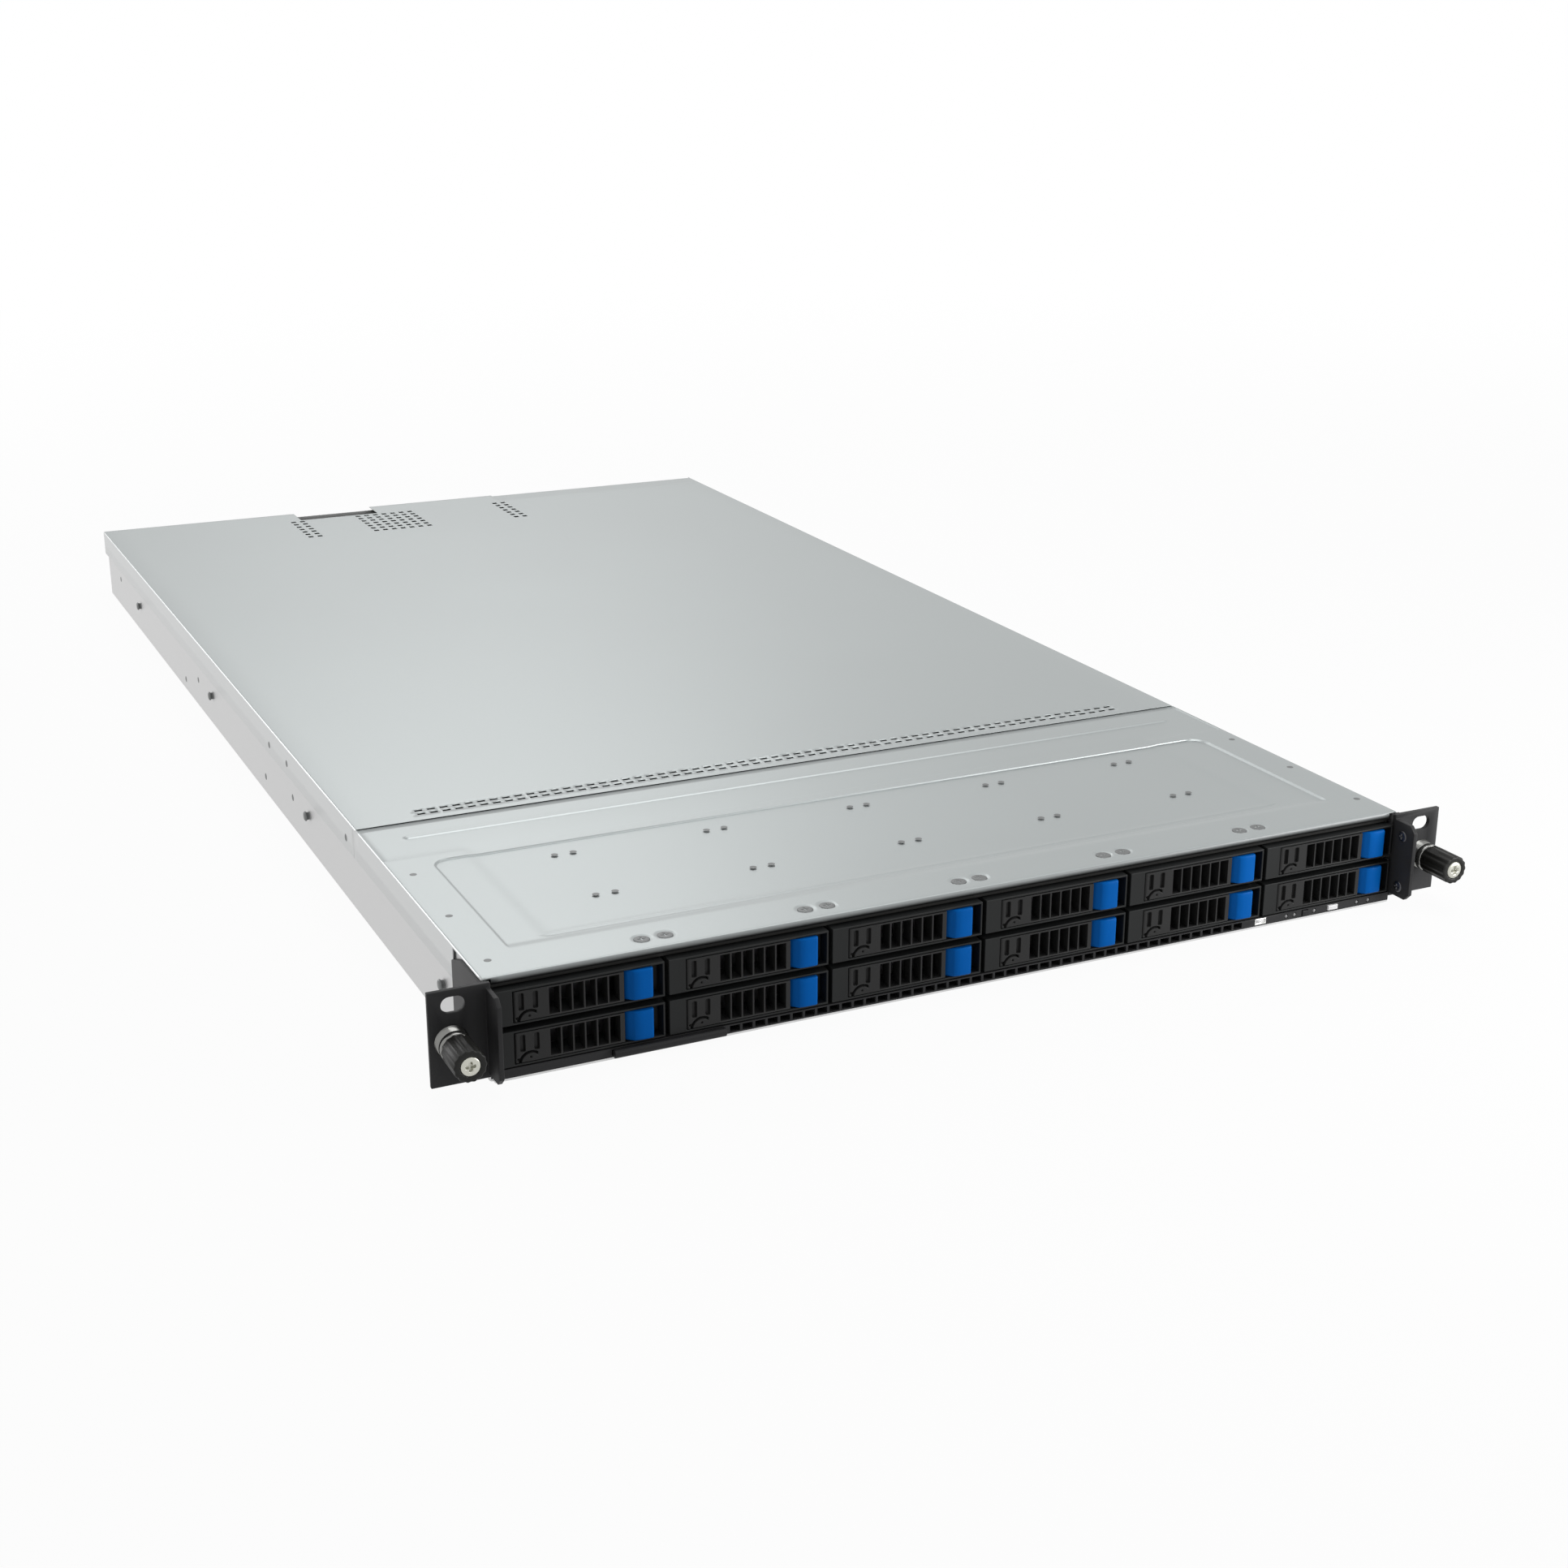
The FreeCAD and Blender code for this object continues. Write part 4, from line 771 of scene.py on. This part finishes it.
for number in range(12):
    body = "tray_%d" % (number + 1)
    middle, foot, floor_z = tray_centre[number], bezel_foot[number], tray_foot[number]
    drive_foot = floor_z + carrier_sheet + drive_gap
    columns = middle + np.array([-tray_half, hinge_block, tray_half - border, tray_half])
    levels = foot + np.array([0, border, bezel_height - border, bezel_height])
    opening = rooms(columns, levels, (*columns[1:3], *levels[1:3]))
    parts = [moulding("bezel", columns, levels, face_y, bezel_rear, ~opening),
             block("wall", (middle + latch_left, columns[2]), latch_wall, levels[1:3]),
             block("floor", columns[[0, 3]], carrier_span, (floor_z, floor_z + carrier_sheet))]
    carrier = place_piece("carrier_%d" % (number + 1), joined("carrier", parts), body,
                          tray_black, [body])
    ease(carrier, 0.3)
    drive = moulding("drive", us + middle, vs, drive_foot + drive_top, drive_foot, order="xyz")
    place_piece("drive_%d" % (number + 1), drive, body, drive_metal)


# ---------------------------------------------------------------- ejector levers
# Black mouldings hinged at their left end: a tongue with two long slots that end beside a
# round boss, and a grille of upright vanes that lets the air in.
lever_black = coated("lever_black", (0.022, 0.022, 0.022), 0.36)
lever_left = -27.5
lever_right = 17.9
lever_foot = bezel_foot + 1.2
lever_height = 12.6
tongue_right = -13.8      # the solid tongue ends and the open grille begins
grille_rear = 4.0
barrel_r = 1.0
rail = 0.7
vanes = -13.4 + 4.95 * np.arange(7)
vane_half = 0.36
slot_lines = (-24.4, -18.6)    # middles of the two blind slots
slot_half = 1.1
slot_span = (4.4, 11.6)
corner_r = 0.6
boss = (-21.2, -0.6)      # middle of the round boss, at the tongue's lower edge
boss_r = 3.9
moat_half = 0.6           # half the width of the groove round the boss
hook_z = 1.7
hook_r = 0.55
groove_depth, hook_depth = 1.5, 0.8
us = np.unique(np.round(np.concatenate([
    lines((lever_left, tongue_right, 0.25)), vanes[:-1] + vane_half, vanes[1:] - vane_half,
    [lever_right]]), 3))
vs = lines((0, rail, 0.35), (rail, lever_height - rail, 0.25),
           (lever_height - rail, lever_height, 0.35))
u, v = np.meshgrid(us, vs)

# The tongue's grooves lie where the distance to the slots, to the moat round the boss or to
# the foot below it is negative.
slots = np.minimum(*[rounded_distance(u, v, s - slot_half, s + slot_half, *slot_span, corner_r)
                     for s in slot_lines])
from_boss = np.hypot(u - boss[0], v - boss[1])
moat = np.maximum(np.abs(from_boss - boss_r - moat_half) - moat_half, u - slot_lines[1] - 0.4)
foot = rounded_distance(u, v, lever_left + 0.6, slot_lines[0] - 0.6, rail, 2.0, corner_r)
foot = np.maximum(foot, boss_r + 0.8 - from_boss)
groove = np.minimum(np.minimum(slots, moat), foot)
hook = hook_r - np.hypot(u - boss[0], v - hook_z)
relief = groove_depth * smooth_step(-groove / 0.4) + hook_depth * smooth_step(hook / 0.35)
rolled = np.clip(lever_left + barrel_r - u, 0, 0.97 * barrel_r)
barrel = barrel_r - np.sqrt(barrel_r ** 2 - rolled ** 2)
lever_front = face_y + barrel + np.where(u < tongue_right, relief, 0)
lever_rear = np.where(u < tongue_right, -barrel, grille_rear)
air = [(a + vane_half, b - vane_half, rail, lever_height - rail)
       for a, b in zip(vanes[:-1], vanes[1:])]
solid = ~rooms(us, vs, *air)
for number in range(12):
    body = "tray_%d_lever" % (number + 1)
    mesh = moulding(body, us + tray_centre[number], vs + lever_foot[number], lever_front,
                    lever_rear, solid)
    lever = place_piece("lever_%d" % (number + 1), mesh, body, lever_black, [body])
    ease(lever, 0.12)


# ---------------------------------------------------------------- release latches
# Blue mouldings at the levers' right ends, standing proud of the bezel, with a sloping left
# face for the finger and a block behind that slides in the bezel.
latch_blue = coated("latch_blue", (0.001, 0.112, 0.44), 0.30, grain_depth=0.06, highlight_share=0.02,
                    shine=0.05)
latch_rear = 3.2
crown_drop = 0.35
profile = np.array([(18.6, -0.2), (18.75, -0.4), (20.0, -1.5), (21.3, -2.7), (21.9, -3.2),
                    (24.6, -3.48), (25.2, -3.5), (28.7, -3.5), (29.2, -3.4), (29.6, -3.1),
                    (29.8, -2.7)])
vs = lines((0, 0.6, 0.15), (0.6, 12.0, 1.9), (12.0, lever_height, 0.15))
crown = crown_drop * smooth_step(1 - np.minimum(vs, lever_height - vs) / 0.6)
latch_front = profile[:, 1] + crown[:, None]
for number in range(12):
    body = "tray_%d_latch" % (number + 1)
    mesh = moulding(body, profile[:, 0] + tray_centre[number], vs + lever_foot[number],
                    latch_front, latch_rear)
    latch = place_piece("latch_%d" % (number + 1), mesh, body, latch_blue, [body])
    ease(latch, 0.12)


# ---------------------------------------------------------------- front panel
# Moulded strip under the trays with its row of air cells and the openings for a port, lamps
# and buttons, and the bar above the trays.
panel_black = coated("panel_black", (0.018, 0.018, 0.019), 0.42)
button_silver = coated("button_silver", (0.80, 0.80, 0.80), 0.30, highlight_share=0.1, shine=0.5)
lens_grey = coated("lens_grey", (0.22, 0.22, 0.22), 0.30, highlight_share=0.1, shine=0.5)
panel_half = 216.0
panel_rear = 8.0
strip_low, strip_high = 1.0, 4.9
bar_front, bar_low, bar_high = 1.8, 38.6, 40.6
level = 2.95              # height of the port, the lamps and the buttons
cells = -117.0 + 5.6 * np.arange(45)
cell_width, cell_half = 4.4, 1.3
lamps = np.array([158.2, 162.8, 173.8, 197.9, 204.4])
lamp_half = 0.9
port = (141.0, 147.0)
port_half = 1.4
port_wall = 0.4
power_hole = (180.95, 187.25, 1.5)
ident_hole = (166.8, 170.4, 1.5)
tab_slot = (-167.8, -119.2, 1.1)
openings = [(a, a + cell_width, cell_half) for a in cells]
openings += [(a - lamp_half, a + lamp_half, lamp_half) for a in lamps]
openings += [(*port, port_half), power_hole, ident_hole, tab_slot]
spaces = [(start, end, level - half, level + half) for start, end, half in openings]
us = np.unique(np.round([-panel_half, panel_half] + [u for space in spaces for u in space[:2]], 3))
vs = np.unique(np.round([strip_low, strip_high] + [v for space in spaces for v in space[2:]], 3))
strip = moulding("strip", us, vs, face_y, panel_rear, ~rooms(us, vs, *spaces))
bar = block("bar", (-panel_half, panel_half), (bar_front, panel_rear), (bar_low, bar_high))
ease(place_piece("panel_strip", strip, "case", panel_black, ["front_panel"]), 0.12)
# The bar is a black moulding, but it takes the cap's darker black rather than the strip's: painted
# shade for the gap under the lid's lip.
ease(place_piece("panel_bar", bar, "case", knob_black, ["front_panel"]), 0.12)
eased_copy("pull_tab", "info_tab", 0.25, panel_black)
eased_copy("power_cap", "power_button", 0.25, button_silver)
eased_copy("ident_cap", "ident_button", 0.25, panel_black)
dot = [(0, 0.12), (0.55, 0.1), (0.7, 0.0), (0.7, -0.5)]
dot_place = (168.5, -2.25, level)
place_piece("ident_dot", turned("dot", dot, dot_place, (0, -1, 0), 16), "ident_button",
            button_silver)
inner = port_half - port_wall
us = np.array([port[0], port[0] + port_wall, port[1] - port_wall, port[1]])
vs = level + np.array([-port_half, -inner, inner, port_half])
shell = moulding("shell", us, vs, face_y, panel_rear, ~rooms(us, vs, (*us[1:3], *vs[1:3])))
place_piece("port_shell", shell, "case", bright_steel, ["front_ports"])
tongue_inset, tongue_half, tongue_span = 0.8, 0.8, (-1.6, 6.0)
tongue = block("tongue", (port[0] + tongue_inset, port[1] - tongue_inset), tongue_span,
               (level - tongue_half, level + tongue_half))
place_piece("port_tongue", tongue, "case", button_silver)
lens = [(0, 2.1), (0.6, 2.05), (0.75, 1.9), (0.75, -6.0)]
lenses = turned("lenses", lens, [(a, 0, level) for a in lamps], (0, -1, 0), 16)
place_piece("lamp_lenses", lenses, "case", lens_grey)


# ---------------------------------------------------------------- inside
# Circuit boards, a row of moulded fans, aluminium heat sinks and memory, all fixed to the
# tub.  They show only through the vents and the bays, so the CAD solids serve as they are.
dress(coated("board_green", (0.02, 0.10, 0.05), 0.45), "backplane", "mainboard")
dress(coated("fan_black", (0.03, 0.03, 0.03), 0.5), "fans")
dress(plated_steel("sink_aluminium", (0.75, 0.75, 0.77), 0.35), "heat_sinks")
dress(coated("memory_green", (0.03, 0.13, 0.07), 0.45), "memory_modules")


# ---------------------------------------------------------------- rear
# Two plug-in power supplies with pull handles and release tabs, each with a black mains
# inlet that holds three plated pins, and the rear connectors.
psu_steel = plated_steel("psu_steel", (0.60, 0.60, 0.60), 0.40)
inlet_offset = (16, 4)
inlet_half = 11.9
inlet_back = (804.55, 805.0)
inlet_levels = np.array([0.1, 15.9])
pin_reach = (804.9, 815.0)
pin_places = ((-7, 5.5), (0, 10), (7, 5.5))
pin_half = (1, 2)
for name in ("psu_1", "psu_2"):
    eased_copy("supply_" + name[-1], name, 0.3, psu_steel)
    eased_copy("supply_tab_" + name[-1], name + "_latch", 0.3, latch_blue)
    corners = np.array([corner[:] for corner in frame["nodes"][name].bound_box]) * 1000
    inlet_x, inlet_z = corners.min(0)[[0, 2]] + inlet_offset
    back_wall = block("floor", (inlet_x - inlet_half, inlet_x + inlet_half), inlet_back,
                      inlet_z + inlet_levels)
    place_piece("inlet_floor_" + name[-1], back_wall, name, knob_black)
    pins = [block("pin", (inlet_x + a - pin_half[0], inlet_x + a + pin_half[0]), pin_reach,
                  (inlet_z + b - pin_half[1], inlet_z + b + pin_half[1])) for a, b in pin_places]
    ease(place_piece("inlet_pins_" + name[-1], joined("pins", pins), name,
                     bright_steel), 0.3)
dress(bright_steel, "rear_ports")
